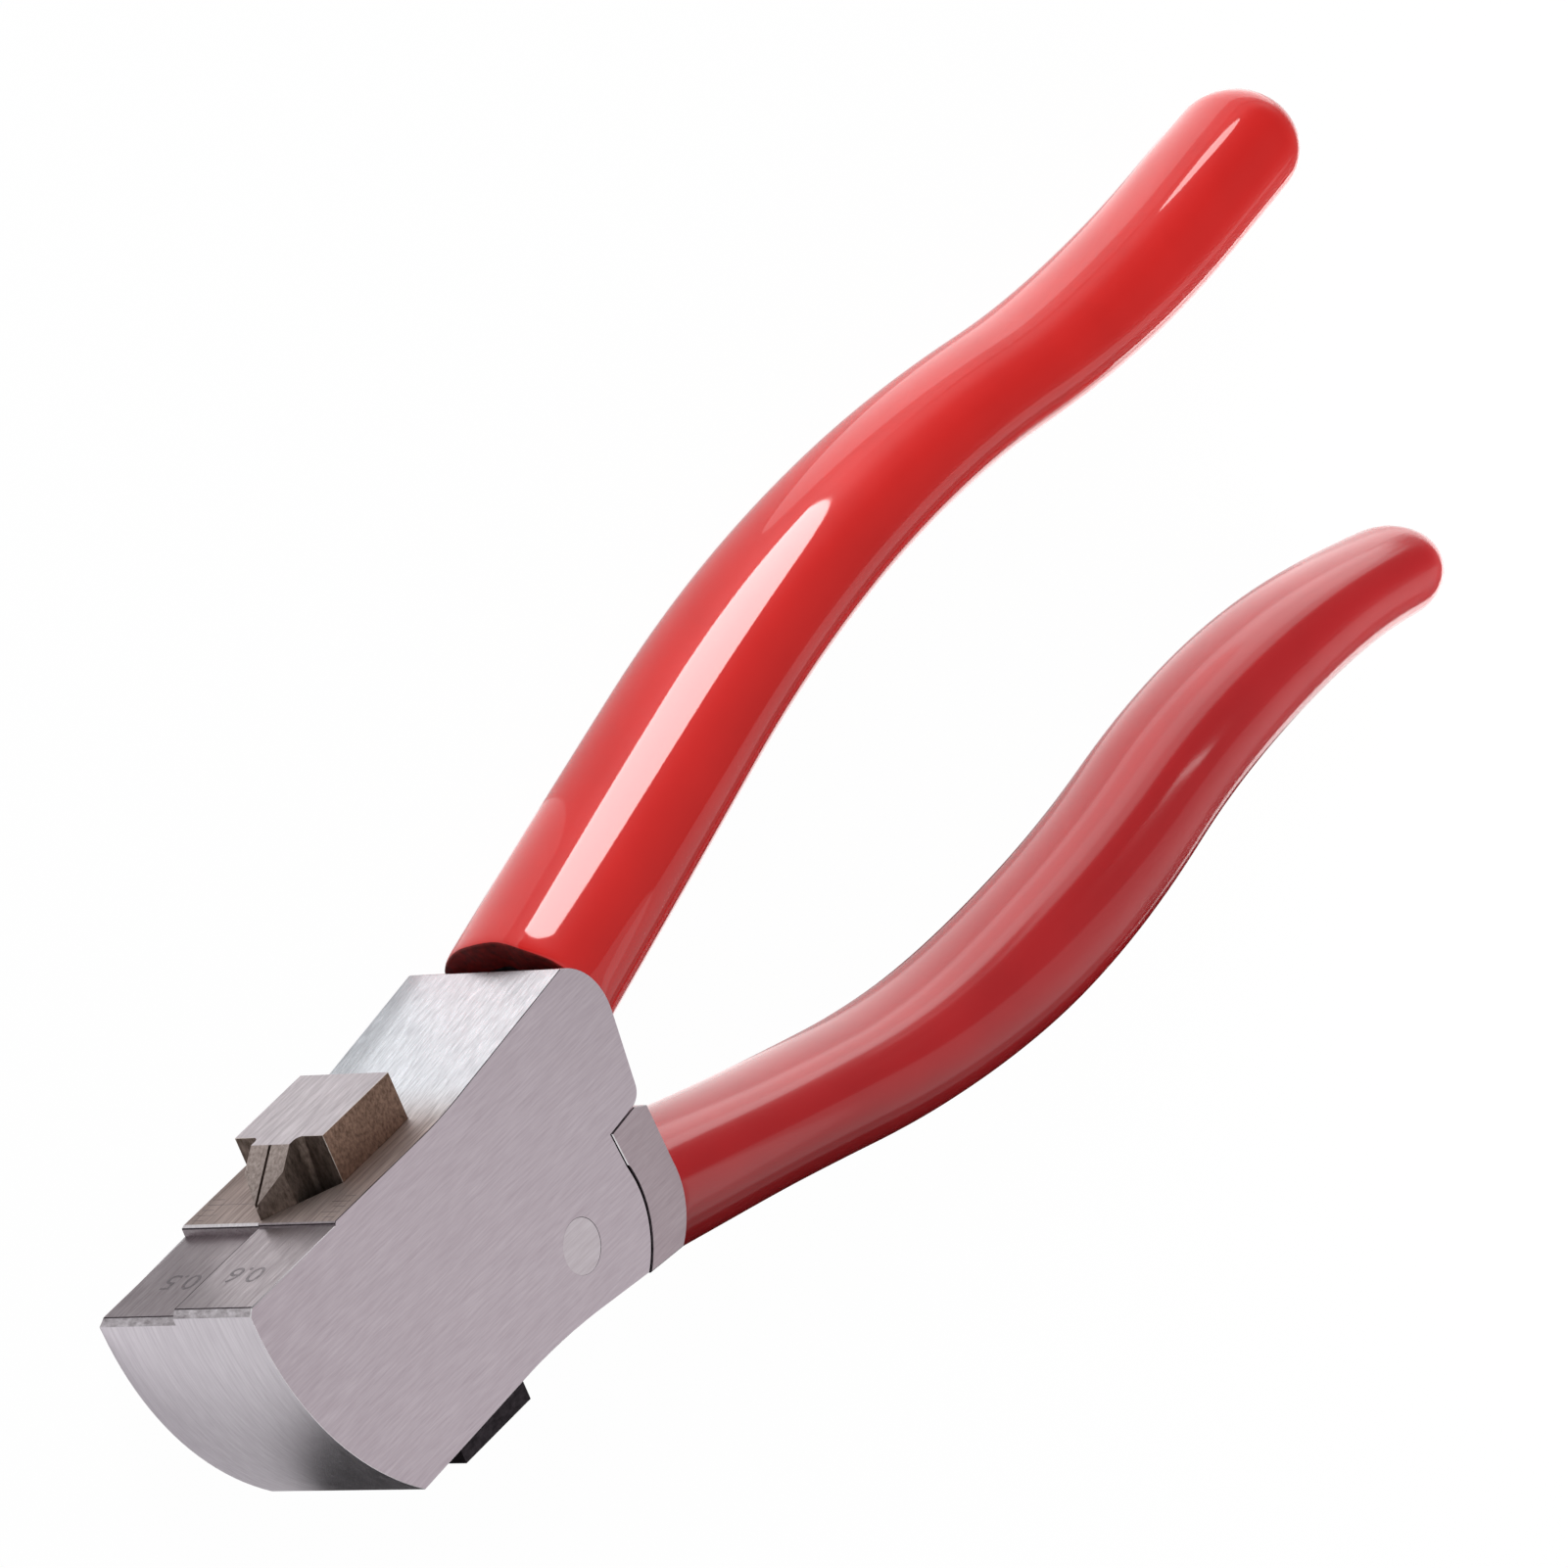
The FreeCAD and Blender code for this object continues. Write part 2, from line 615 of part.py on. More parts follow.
def body_half(label, floor, landing_drop, is_front):
    """One half of the split head with its share of the cavities and bores."""
    body = new_body(label)
    outline = new_sketch(body, label + "_side", floor)
    points, arcs = head_outline(landing_drop)
    draw_outline(outline, points, arcs)
    pad(body, label + "_block", outline, MIDDLE)
    face_height = THICKNESS if is_front else ZERO
    cavity_top = MIDDLE + HALF_CAVITY if is_front else MIDDLE
    chute_top = MIDDLE + SIZE["chute_half_width"] if is_front else MIDDLE
    gib_top = MIDDLE + SIZE["gib_width"] / 2 if is_front else MIDDLE
    for name, shape, top, depth in (
        ("channel", channel_outline(), cavity_top, HALF_CAVITY),
        ("lever_pocket", lever_pocket_outline(), cavity_top, HALF_CAVITY),
        ("tang_pocket", tang_outline(SIZE["tang_pocket_overrun"]), cavity_top, HALF_CAVITY),
        ("gib_seat", gib_outline(), gib_top, SIZE["gib_width"] / 2),
        ("chip_chute", chute_outline(), chute_top, SIZE["chute_half_width"]),
    ):
        sketch = new_sketch(body, label + "_" + name, top)
        draw_outline(sketch, shape)
        pocket(body, label + "_" + name + "_cut", sketch, depth)
    cut_die_mouth(body, label + "_die", MIDDLE, face_height)
    dowel_top = MIDDLE + SIZE["dowel_length"] / 2 if is_front else MIDDLE
    half_pin = SIZE["tang_pin_length"] / 2
    pin_top = MIDDLE + half_pin if is_front else MIDDLE
    bores = [
        ("dowel_bores", DOWEL_POINTS, SIZE["dowel_diameter"], dowel_top, SIZE["dowel_length"] / 2),
        ("tang_pin_bores", tang_pin_points(), SIZE["tang_pin_diameter"], pin_top, half_pin),
        ("stop_pin_bore", [STOP_PIN_POINT], SIZE["stop_pin_diameter"], pin_top, half_pin),
    ]
    if is_front:
        bores.append(("pivot_bore", [PIVOT], SIZE["pivot_diameter"], THICKNESS, MIDDLE))
        bores.append(("screw_bores", SCREW_POINTS, SIZE["screw_diameter"], SIZE["screw_length"],
                      SIZE["screw_length"] - MIDDLE))
    else:
        bores.append(("pivot_bore", [PIVOT], SIZE["pivot_diameter"], MIDDLE,
                      MIDDLE - SIZE["pivot_blind_wall"]))
        bores.append(("screw_bores", SCREW_POINTS, SIZE["screw_diameter"], MIDDLE, MIDDLE))
    for name, places, diameter, top, depth in bores:
        sketch = circles_sketch(body, label + "_" + name, top, places, diameter)
        pocket(body, label + "_" + name + "_cut", sketch, depth)
    if not is_front:
        sink_height = screw_head_height()
        sink = circles_sketch(body, label + "_sinks", sink_height, SCREW_POINTS, SIZE["screw_diameter"])
        pocket(body, label + "_sinks_cut", sink, sink_height, SIZE["sink_half_angle"])
    return body


def front_body_half():
    return body_half("front_body_half", MIDDLE, SIZE["front_landing_drop"], True)


def back_body_half():
    return body_half("back_body_half", ZERO, SIZE["back_landing_drop"], False)


def bar_gib():
    body = new_body("bar_gib")
    sketch = new_sketch(body, "gib_side", MIDDLE - SIZE["gib_width"] / 2)
    draw_outline(sketch, gib_outline())
    pad(body, "gib_strip", sketch, SIZE["gib_width"])
    return body


def body_screws():
    """Countersunk socket screws that clamp the halves from the back."""
    body = new_body("body_screws")
    shanks = circles_sketch(body, "shank_circles", ZERO, SCREW_POINTS, SIZE["screw_diameter"])
    pad(body, "shanks", shanks, SIZE["screw_length"])
    head_height = screw_head_height()
    heads = circles_sketch(body, "head_circles", ZERO, SCREW_POINTS, SIZE["screw_head_diameter"])
    pad(body, "heads", heads, head_height, -SIZE["sink_half_angle"])
    sockets = new_sketch(body, "socket_hexagons", SIZE["hex_depth"])
    for point in SCREW_POINTS:
        draw_hexagon(sockets, point, SIZE["hex_key"])
    pocket(body, "sockets", sockets, SIZE["hex_depth"])
    return body


def cross_pins(label, points, diameter, length):
    """Pins across the head, centred in its thickness."""
    body = new_body(label)
    sketch = circles_sketch(body, label + "_circles", MIDDLE - length / 2, points, diameter)
    pad(body, label + "_rods", sketch, length)
    return body


def pivot_pin():
    body = new_body("pivot_pin")
    sketch = circles_sketch(body, "pivot_circle", SIZE["pivot_blind_wall"], [PIVOT], SIZE["pivot_diameter"])
    rod = pad(body, "pivot_rod", sketch, THICKNESS - SIZE["pivot_blind_wall"])
    edges = outer_edges_at(rod.Shape, THICKNESS.value)
    chamfer(body, "pivot_edge", rod, edges, SIZE["pin_chamfer"])
    return body


# Cutter bar with its tooth

def cutter_bar():
    body = new_body("cutter_bar")
    half_width = HALF_CAVITY - GAP
    front = SIZE["bar_from_nose"]
    rear = front + SIZE["bar_length"]
    side = new_sketch(body, "bar_side", MIDDLE - half_width)
    top = SIZE["bar_rise"]
    bottom = -SIZE["bar_foot_depth"]
    draw_outline(side, [head_point(front, top), head_point(rear, top),
                        head_point(rear, bottom), head_point(front, bottom)])
    pad(body, "bar_block", side, half_width * 2)

    tooth_plan = new_sketch(body, "tooth_plan", -(SIZE["pivot_depth"] + SIZE["bar_rise"]), "XZ_Plane")
    tip = SIZE["tooth_from_nose"]
    half = SIZE["tooth_half_width"]
    shoulder = tip + half / tangent(SIZE["tooth_flank_angle"])
    inside = front + OVERRUN
    plan = [(tip, MIDDLE), (shoulder, MIDDLE + half), (inside, MIDDLE + half),
            (inside, MIDDLE - half), (shoulder, MIDDLE - half)]
    draw_outline(tooth_plan, [(head_point(along, ZERO)[0], across) for along, across in plan])
    pad(body, "tooth", tooth_plan, SIZE["bar_rise"] + SIZE["tooth_foot_depth"])

    slope_cut = new_sketch(body, "tooth_slope", THICKNESS)
    ahead = tip - OVERRUN
    fall = (SIZE["bar_rise"] - SIZE["tooth_tip_rise"]) / (SIZE["tooth_ramp_end"] - tip) * OVERRUN
    draw_outline(slope_cut, [head_point(SIZE["tooth_ramp_end"], SIZE["bar_rise"]),
                             head_point(ahead, SIZE["bar_rise"]),
                             head_point(ahead, SIZE["tooth_tip_rise"] - fall)])
    pocket(body, "tooth_slope_cut", slope_cut, THICKNESS)

    index_line = new_sketch(body, "index_line", MIDDLE + SIZE["index_line_width"] / 2)
    sink = SIZE["index_line_depth"]
    draw_outline(index_line, [head_point(SIZE["tooth_ramp_end"], SIZE["bar_rise"]),
                              head_point(ahead, SIZE["tooth_tip_rise"] - fall),
                              head_point(ahead, SIZE["tooth_tip_rise"] - fall - sink),
                              head_point(SIZE["tooth_ramp_end"], SIZE["bar_rise"] - sink)])
    pocket(body, "index_line_cut", index_line, SIZE["index_line_width"])

    slot = new_sketch(body, "lever_slot", MIDDLE + SIZE["bar_slot_width"] / 2)
    slot_front = head_point(front + SIZE["bar_front_wall"], ZERO)[0]
    slot_rear = head_point(rear + OVERRUN, ZERO)[0]
    slot_top = DRIVE_POINT[1] + SIZE["bar_slot_half_height"]
    slot_floor = DRIVE_POINT[1] - SIZE["bar_slot_half_height"]
    draw_outline(slot, [(slot_front, slot_top), (slot_rear, slot_top),
                        (slot_rear, slot_floor), (slot_front, slot_floor)])
    pocket(body, "lever_slot_cut", slot, SIZE["bar_slot_width"])

    bore = circles_sketch(body, "drive_bore", THICKNESS, [DRIVE_POINT], SIZE["drive_pin_diameter"])
    pocket(body, "drive_bore_cut", bore, THICKNESS)
    return body


def drive_roller():
    body = new_body("drive_roller")
    length = SIZE["arm_thickness"]
    sketch = circles_sketch(body, "roller_rings", MIDDLE - length / 2, [DRIVE_POINT],
                            SIZE["drive_roller_diameter"])
    draw_circle(sketch, DRIVE_POINT, SIZE["drive_pin_diameter"])
    pad(body, "roller", sketch, length)
    return body


# Lever

def arm_point(distance, offset):
    """A point on the lever's arm, measured from the pivot towards the bar at rest."""
    heading = Size(180) + SIZE["closed_angle"]
    return step_aside(step_along(PIVOT, heading, as_size(distance)), heading, -as_size(offset))


def lever_pin_point():
    """Middle of the part of the handle bar that sits in the lever."""
    return along_path(LEVER_PATH, -BAR_SOCKET_DEPTH / 2)[0]


def lever_block():
    """Ground root flush with the head, with the hub and the forked arm inside it."""
    body = new_body("lever_block")
    seam = SIZE["seam_radius"] + SIZE["seam_gap"]
    corner = head_point(SIZE["stop_corner_from_nose"] + SIZE["seam_gap"],
                        -(SIZE["stop_corner_depth"] + SIZE["stop_gap"]))
    heel = head_point(SIZE["heel_from_nose"], -(SIZE["heel_depth"] + SIZE["stop_gap"]))
    shoulder = head_point(SIZE["root_shoulder_from_nose"], -SIZE["root_shoulder_depth"])
    flank = head_point(SIZE["root_flank_from_nose"], -SIZE["root_flank_depth"])
    foot = head_point(SIZE["root_foot_from_nose"], -SIZE["root_foot_depth"])
    root_sketch = new_sketch(body, "root_side")
    draw_outline(root_sketch,
                 [corner, heel, shoulder, flank, foot, polar(seam, -SIZE["seam_end_angle"]),
                  polar(seam, SIZE["seam_top_angle"])],
                 {3: (SIZE["root_end_radius"], LEFT), 5: (seam, RIGHT)})
    pad(body, "root", root_sketch, THICKNESS)

    hub_floor = MIDDLE - SIZE["hub_thickness"] / 2
    hub_sketch = circles_sketch(body, "hub_circle", hub_floor, [PIVOT], SIZE["hub_radius"] * 2)
    pad(body, "hub", hub_sketch, SIZE["hub_thickness"])
    neck_half = SIZE["neck_half_height"]
    neck_reach = seam + OVERRUN
    neck_sketch = new_sketch(body, "neck_side", hub_floor)
    draw_outline(neck_sketch, [(ZERO, neck_half), (neck_reach, neck_half),
                               (neck_reach, -neck_half), (ZERO, -neck_half)])
    pad(body, "neck", neck_sketch, SIZE["hub_thickness"])

    arm_floor = MIDDLE - SIZE["arm_thickness"] / 2
    half = SIZE["arm_half_height"]
    tip = ARM_LENGTH / cosine(SIZE["closed_angle"]) + SIZE["drive_roller_diameter"] / 2
    arm_sketch = new_sketch(body, "arm_side", arm_floor)
    draw_outline(arm_sketch, [arm_point(0, half), arm_point(tip, half),
                              arm_point(tip, -half), arm_point(0, -half)])
    pad(body, "arm", arm_sketch, SIZE["arm_thickness"])
    fork_half = SIZE["drive_roller_diameter"] / 2 + GAP
    fork_root = ARM_LENGTH - SIZE["drive_roller_diameter"] / 2 - SIZE["fork_clearance"]
    fork_tip = tip + OVERRUN
    fork_sketch = new_sketch(body, "fork_slot", arm_floor + SIZE["arm_thickness"])
    draw_outline(fork_sketch, [arm_point(fork_root, fork_half), arm_point(fork_tip, fork_half),
                               arm_point(fork_tip, -fork_half), arm_point(fork_root, -fork_half)])
    pocket(body, "fork_slot_cut", fork_sketch, SIZE["arm_thickness"])

    bush_bore = circles_sketch(body, "bush_bore", THICKNESS, [PIVOT], SIZE["bush_diameter"])
    pocket(body, "bush_bore_cut", bush_bore, THICKNESS)
    socket = section_sketch(body, "bar_socket", LEVER_PATH, -BAR_SOCKET_DEPTH)
    draw_circle(socket, (ZERO, ZERO), SIZE["handle_bar_diameter"])
    pocket(body, "bar_socket_cut", socket, BAR_SOCKET_DEPTH + SIZE["bar_socket_overrun"], upward=True)
    pin_bore = circles_sketch(body, "lever_pin_bore", SIZE["lever_pin_length"], [lever_pin_point()],
                              SIZE["lever_pin_diameter"])
    pocket(body, "lever_pin_bore_cut", pin_bore, SIZE["lever_pin_length"])
    return body


def ring(label, floor, length, outer, inner):
    body = new_body(label)
    sketch = circles_sketch(body, label + "_rings", floor, [PIVOT], outer)
    draw_circle(sketch, PIVOT, inner)
    pad(body, label + "_ring", sketch, length)
    return body


def pivot_bush():
    return ring("pivot_bush", MIDDLE - SIZE["hub_thickness"] / 2, SIZE["hub_thickness"],
                SIZE["bush_diameter"], SIZE["pivot_diameter"] + GAP * 2)


def thrust_washer(label, floor):
    return ring(label, floor, SIZE["washer_thickness"], SIZE["washer_diameter"],
                SIZE["pivot_diameter"] + GAP * 4)


# Handles

def section_sketch(body, name, path, distance):
    """Sketch square across a handle's middle line, with its X axis up and its Y axis along +Z."""
    point, heading = along_path(path, distance)
    sketch = new_sketch(body, name, ZERO, "YZ_Plane")
    base = "create(<<vector>>; %s; %s; %s)" % (point[1].text, MIDDLE.text, point[0].text)
    turn = "create(<<rotation>>; create(<<vector>>; 0; 1; 0); %s)" % heading.text
    sketch.setExpression("AttachmentOffset.Base.z", None)
    sketch.setExpression("AttachmentOffset", "create(<<placement>>; %s; %s)" % (base, turn))
    return sketch


def path_sketch(body, name, path, start, end):
    """Middle line of a handle bar: a straight run and two tangent arcs."""
    sketch = new_sketch(body, name, MIDDLE)
    straight, bends = path[2:]
    first_radius, first_turn = bends[0]
    first_end = straight + first_radius * first_turn * turn_sign(first_turn) / DEGREES_PER_RADIAN
    places = [along_path(path, stop)[0] for stop in (start, straight, first_end, end)]
    arcs = [None] + [(radius, -turn_sign(turn)) for radius, turn in bends]
    sides = []
    for index, arc in enumerate(arcs):
        sides.append(add_side(sketch, places[index], places[index + 1], arc))
    for first, second in zip(sides, sides[1:]):
        join_sides(sketch, first, second)
    for side, place in zip(sides, places):
        fix_point(sketch, side[0], side[1], place)
    fix_point(sketch, sides[-1][0], sides[-1][2], places[-1])
    return sketch


def sweep_bar(body, name, path, start, end, subtractive=False):
    profile = section_sketch(body, name + "_circle", path, start)
    draw_circle(profile, (ZERO, ZERO), SIZE["handle_bar_diameter"])
    spine = path_sketch(body, name + "_path", path, start, end)
    kind = "PartDesign::SubtractivePipe" if subtractive else "PartDesign::AdditivePipe"
    feature = body.newObject(kind, name)
    feature.Profile = profile
    feature.Spine = spine
    document.recompute()
    return feature


def oval_loft(body, name, path, ovals):
    """Solid through ovals, each given as (distance along the path, half height, half thickness)."""
    sections = []
    for index, (distance, half_height, half_thickness) in enumerate(ovals):
        sketch = section_sketch(body, "%s_section_%d" % (name, index), path, distance)
        draw_ellipse(sketch, half_height, half_thickness)
        sections.append(sketch)
    feature = body.newObject("PartDesign::AdditiveLoft", name)
    feature.Profile = sections[0]
    feature.Sections = sections[1:]
    document.recompute()
    return feature


def grip(label, path, length, heights, thicknesses):
    """Dipped sleeve: oval sections along the middle line, a rounded end, and a bore for its bar."""
    body = new_body(label)
    end_length = SIZE["grip_end_length"]
    sleeve_length = length - end_length
    last = len(heights) - 1
    sleeve = []
    for index, (half_height, half_thickness) in enumerate(zip(heights, thicknesses)):
        sleeve.append((sleeve_length * (index / last), half_height, half_thickness))
    oval_loft(body, label + "_sleeve", path, sleeve)
    rounded = []
    for step in ROUND_END_STEPS:
        shrink = math.sqrt(1 - step ** 2)
        distance = sleeve_length + end_length * step
        rounded.append((distance, heights[last] * shrink, thicknesses[last] * shrink))
    oval_loft(body, label + "_end", path, rounded)
    sweep_bar(body, label + "_bore", path, -OVERRUN, length - SIZE["bar_end_cover"], True)
    return body


def fixed_handle_bar():
    body = new_body("fixed_handle_bar")
    tang = new_sketch(body, "tang_side", MIDDLE - HALF_CAVITY)
    draw_outline(tang, tang_outline(ZERO))
    pad(body, "tang", tang, HALF_CAVITY * 2)
    sweep_bar(body, "fixed_bar", FIXED_PATH, -SIZE["bar_root_overlap"],
              SIZE["fixed_grip_length"] - SIZE["bar_end_cover"])
    bores = circles_sketch(body, "tang_pin_holes", THICKNESS, tang_pin_points(), SIZE["tang_pin_diameter"])
    pocket(body, "tang_pin_holes_cut", bores, THICKNESS)
    return body


def lever_handle_bar():
    body = new_body("lever_handle_bar")
    sweep_bar(body, "lever_bar", LEVER_PATH, -BAR_SOCKET_DEPTH,
              SIZE["lever_grip_length"] - SIZE["bar_end_cover"])
    bore = circles_sketch(body, "lever_pin_hole", THICKNESS, [lever_pin_point()], SIZE["lever_pin_diameter"])
    pocket(body, "lever_pin_hole_cut", bore, THICKNESS)
    return body


def lever_bar_pin():
    """Pin driven in from the back that locks the handle bar in the lever."""
    body = new_body("lever_bar_pin")
    sketch = circles_sketch(body, "lever_pin_circle", ZERO, [lever_pin_point()], SIZE["lever_pin_diameter"])
    pad(body, "lever_pin_rod", sketch, SIZE["lever_pin_length"])
    return body


SUBPARTS = [
    front_body_half(),
    back_body_half(),
    bar_gib(),
    cross_pins("locating_dowels", DOWEL_POINTS, SIZE["dowel_diameter"], SIZE["dowel_length"]),
    body_screws(),
    pivot_pin(),
    cross_pins("opening_stop_pin", [STOP_PIN_POINT], SIZE["stop_pin_diameter"], SIZE["tang_pin_length"]),
    fixed_handle_bar(),
    cross_pins("tang_pins", tang_pin_points(), SIZE["tang_pin_diameter"], SIZE["tang_pin_length"]),
    grip("fixed_handle_grip", FIXED_PATH, SIZE["fixed_grip_length"], FIXED_HEIGHTS, FIXED_THICKNESSES),
    cutter_bar(),
    cross_pins("drive_pin", [DRIVE_POINT], SIZE["drive_pin_diameter"], SIZE["cavity_width"] - GAP * 4),
    drive_roller(),
    lever_block(),
    pivot_bush(),
    thrust_washer("front_thrust_washer", MIDDLE + SIZE["hub_thickness"] / 2),
    thrust_washer("back_thrust_washer", MIDDLE - SIZE["hub_thickness"] / 2 - SIZE["washer_thickness"]),
    lever_handle_bar(),
    lever_bar_pin(),
    grip("lever_grip", LEVER_PATH, SIZE["lever_grip_length"], LEVER_HEIGHTS, LEVER_THICKNESSES),
]

document.recompute()
for item in document.Objects:
    if "Invalid" in item.State or "Error" in item.State:
        raise RuntimeError("failed object: " + item.Name)
for subpart in SUBPARTS:
    if subpart.Shape.isNull() or not subpart.Shape.isValid() or not subpart.Shape.Solids:
        raise RuntimeError("bad shape: " + subpart.Label)

os.makedirs("parts", exist_ok=True)
for subpart in SUBPARTS:
    subpart.Shape.exportStep("parts/%s.step" % subpart.Label)
    print(subpart.Label, len(subpart.Shape.Solids), round(subpart.Shape.Volume, 2))
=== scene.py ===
"""Hand key cutter: ground steel head with a sliding toothed bar, and two handles dipped in red vinyl."""
import bmesh
import bpy
import json
import math
from mathutils import Matrix, Vector


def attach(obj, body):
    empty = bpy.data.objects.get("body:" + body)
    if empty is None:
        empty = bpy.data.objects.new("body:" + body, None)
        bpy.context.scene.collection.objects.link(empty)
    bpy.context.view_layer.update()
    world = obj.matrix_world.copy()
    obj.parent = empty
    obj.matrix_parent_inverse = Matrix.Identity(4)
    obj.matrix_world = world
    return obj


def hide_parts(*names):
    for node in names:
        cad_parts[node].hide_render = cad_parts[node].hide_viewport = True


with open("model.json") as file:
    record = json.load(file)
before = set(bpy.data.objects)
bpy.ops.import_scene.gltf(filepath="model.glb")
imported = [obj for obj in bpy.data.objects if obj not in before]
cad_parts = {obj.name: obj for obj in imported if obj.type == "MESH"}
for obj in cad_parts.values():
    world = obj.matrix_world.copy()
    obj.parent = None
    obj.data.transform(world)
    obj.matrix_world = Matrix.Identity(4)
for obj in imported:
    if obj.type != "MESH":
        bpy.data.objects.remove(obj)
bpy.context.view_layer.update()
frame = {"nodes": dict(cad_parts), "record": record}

# Sizes are in millimetres, and from the floor and the lamps on in metres.
MM = 0.001
NOSE_TO_PIVOT = 46.5
DIE_FACE = 22.5
HEAD_THICKNESS = 20.8
PARTING = HEAD_THICKNESS / 2
STEP_FROM_NOSE = 15.8
FRONT_LANDING_DROP = 0.4
BACK_LANDING_DROP = 1.2
BAR_FRONT = 23.4
BAR_TOP = DIE_FACE + 5.6
TOUCH = 0.01 * MM
MERGE = 0.001 * MM
# Angles between faces: below FLAT they count as one plane, and above CORNER as a corner. Above SHARP they
# are shaded with an edge between them, or above ROUND_SHARP on a round piece.
FLAT = math.radians(0.5)
CORNER = math.radians(20)
SHARP = math.radians(14)
ROUND_SHARP = math.radians(40)
# A face looks along an axis when its normal reaches this far along it.
FACING = 0.9


def from_nose(along):
    """X of a place given by its distance from the nose."""
    return (along - NOSE_TO_PIVOT) * MM


# Nodes and colours

# Sockets of the colour mix node, which shares its names between number and colour sockets.
MIX_FACTOR, MIX_FIRST, MIX_SECOND, MIX_RESULT = 0, 6, 7, 2
# Range that noise values seldom leave.
NOISE_LOW = 0.3
NOISE_HIGH = 0.7


def linear(hex_colour):
    """An sRGB hex colour as linear red, green, blue and alpha."""
    channels = []
    for start in (1, 3, 5):
        value = int(hex_colour[start:start + 2], 16) / 255
        channels.append(value / 12.92 if value <= 0.04045 else ((value + 0.055) / 1.055) ** 2.4)
    return (*channels, 1.0)


def add_node(tree, kind, inputs=None, **settings):
    """Adds a node with its settings, and sets or links its inputs."""
    node = tree.nodes.new(kind)
    for name, value in settings.items():
        setattr(node, name, value)
    for socket, value in (inputs or {}).items():
        if isinstance(value, bpy.types.NodeSocket):
            tree.links.new(value, node.inputs[socket])
        else:
            node.inputs[socket].default_value = value
    return node


def new_material(name):
    """An empty material with its tree and a node that gives Object coordinates."""
    material = bpy.data.materials.new(name)
    material.use_nodes = True
    tree = material.node_tree
    tree.nodes.clear()
    place = add_node(tree, "ShaderNodeTexCoord")
    return material, tree, place.outputs["Object"]


def finish_material(tree, shader):
    add_node(tree, "ShaderNodeOutputMaterial", {"Surface": shader.outputs[0]})


def per_mm(*sizes):
    """Texture scale that gives marks of these sizes in millimetres."""
    return [1 / (size * MM) for size in sizes]


def blend_colours(tree, factor, first, second):
    mix = add_node(tree, "ShaderNodeMix", {MIX_FACTOR: factor, MIX_FIRST: first, MIX_SECOND: second},
                   data_type="RGBA")
    return mix.outputs[MIX_RESULT]


def spread(tree, value, low, high):
    """Stretches a noise value, which stays near its middle, over a range."""
    stretched = add_node(tree, "ShaderNodeMapRange",
                         {"Value": value, "From Min": NOISE_LOW, "From Max": NOISE_HIGH,
                          "To Min": low, "To Max": high})
    return stretched.outputs["Result"]


# Finishes

# Distances from the nose: up to the first the die is darkened as painted shade and roughened, and from the
# second the ramp is bright.
DULL_UP_TO = 32.0
BRIGHT_FROM = 42.0
DIE_LIGHT = "#d0c0bb"
DIE_DARK = "#9e8f8a"
DIE_ROUGHER = 0.3
STAIN_SIZE = 7.0
GRAIN_DEPTH = 0.02
ROUGHNESS_SPREAD = 0.06


def shade_and_dull_towards_nose(tree, place, shade, colour, roughness):
    """Darkens a bright ramp to the brown of the die, from its middle towards the nose, as painted shade where
    the cutter bar shades the die, and makes it rougher there.
    """
    along = add_node(tree, "ShaderNodeSeparateXYZ", {0: place}).outputs["X"]
    dull = add_node(tree, "ShaderNodeMapRange",
                    {"Value": along, "From Min": from_nose(DULL_UP_TO), "From Max": from_nose(BRIGHT_FROM),
                     "To Min": 1.0, "To Max": 0.0}, interpolation_type="SMOOTHSTEP").outputs["Result"]
    die_colour = blend_colours(tree, shade, linear(DIE_DARK), linear(DIE_LIGHT))
    rougher = add_node(tree, "ShaderNodeMath", {0: dull, 1: DIE_ROUGHER, 2: roughness},
                       operation="MULTIPLY_ADD")
    return blend_colours(tree, dull, colour, die_colour), rougher.outputs[0]


def streaked_steel(name, light, dark, roughness, streaks, stain=0.25, relief=0.3, shaded_dull_die=False):
    """Steel with streaks of the given sizes along X, Y and Z, and faint cloudy stains."""
    material, tree, place = new_material(name)
    stretched = add_node(tree, "ShaderNodeMapping", {"Vector": place, "Scale": per_mm(*streaks)})
    grain = add_node(tree, "ShaderNodeTexNoise",
                     {"Vector": stretched.outputs[0], "Scale": 1.0, "Detail": 5.0, "Roughness": 0.65})
    clouds = add_node(tree, "ShaderNodeTexNoise",
                      {"Vector": place, "Scale": per_mm(STAIN_SIZE)[0], "Detail": 2.0})
    shade = spread(tree, grain.outputs["Fac"], 0.0, 1.0)
    colour = blend_colours(tree, shade, linear(dark), linear(light))
    stained = blend_colours(tree, spread(tree, clouds.outputs["Fac"], 0.0, stain), colour, linear(dark))
    bump = add_node(tree, "ShaderNodeBump",
                    {"Height": grain.outputs["Fac"], "Strength": relief, "Distance": GRAIN_DEPTH * MM})
    rough = spread(tree, grain.outputs["Fac"], roughness + ROUGHNESS_SPREAD, roughness - ROUGHNESS_SPREAD)
    # Painted shade round the die, where the cutter bar stands.
    if shaded_dull_die:
        stained, rough = shade_and_dull_towards_nose(tree, place, shade, stained, rough)
    shader = add_node(tree, "ShaderNodeBsdfPrincipled",
                      {"Base Color": stained, "Metallic": 1.0, "Roughness": rough,
                       "Normal": bump.outputs["Normal"]})
    finish_material(tree, shader)
    return material


# Surface-ground tool steel: the wheel leaves fine streaks along the head. Real grit lines are
# about 0.05 mm apart, and are drawn 0.25 mm wide so that they show.
FACE_STEEL = streaked_steel("ground_tool_steel_face", "#ebdee6", "#d8c9d2", 0.40, (4, 0.25, 0.25))
# The lever root is ground apart from the head, and comes out duller.
LEVER_STEEL = streaked_steel("ground_tool_steel_lever", "#d8c8ce", "#c4b2b9", 0.42, (4, 0.25, 0.25))
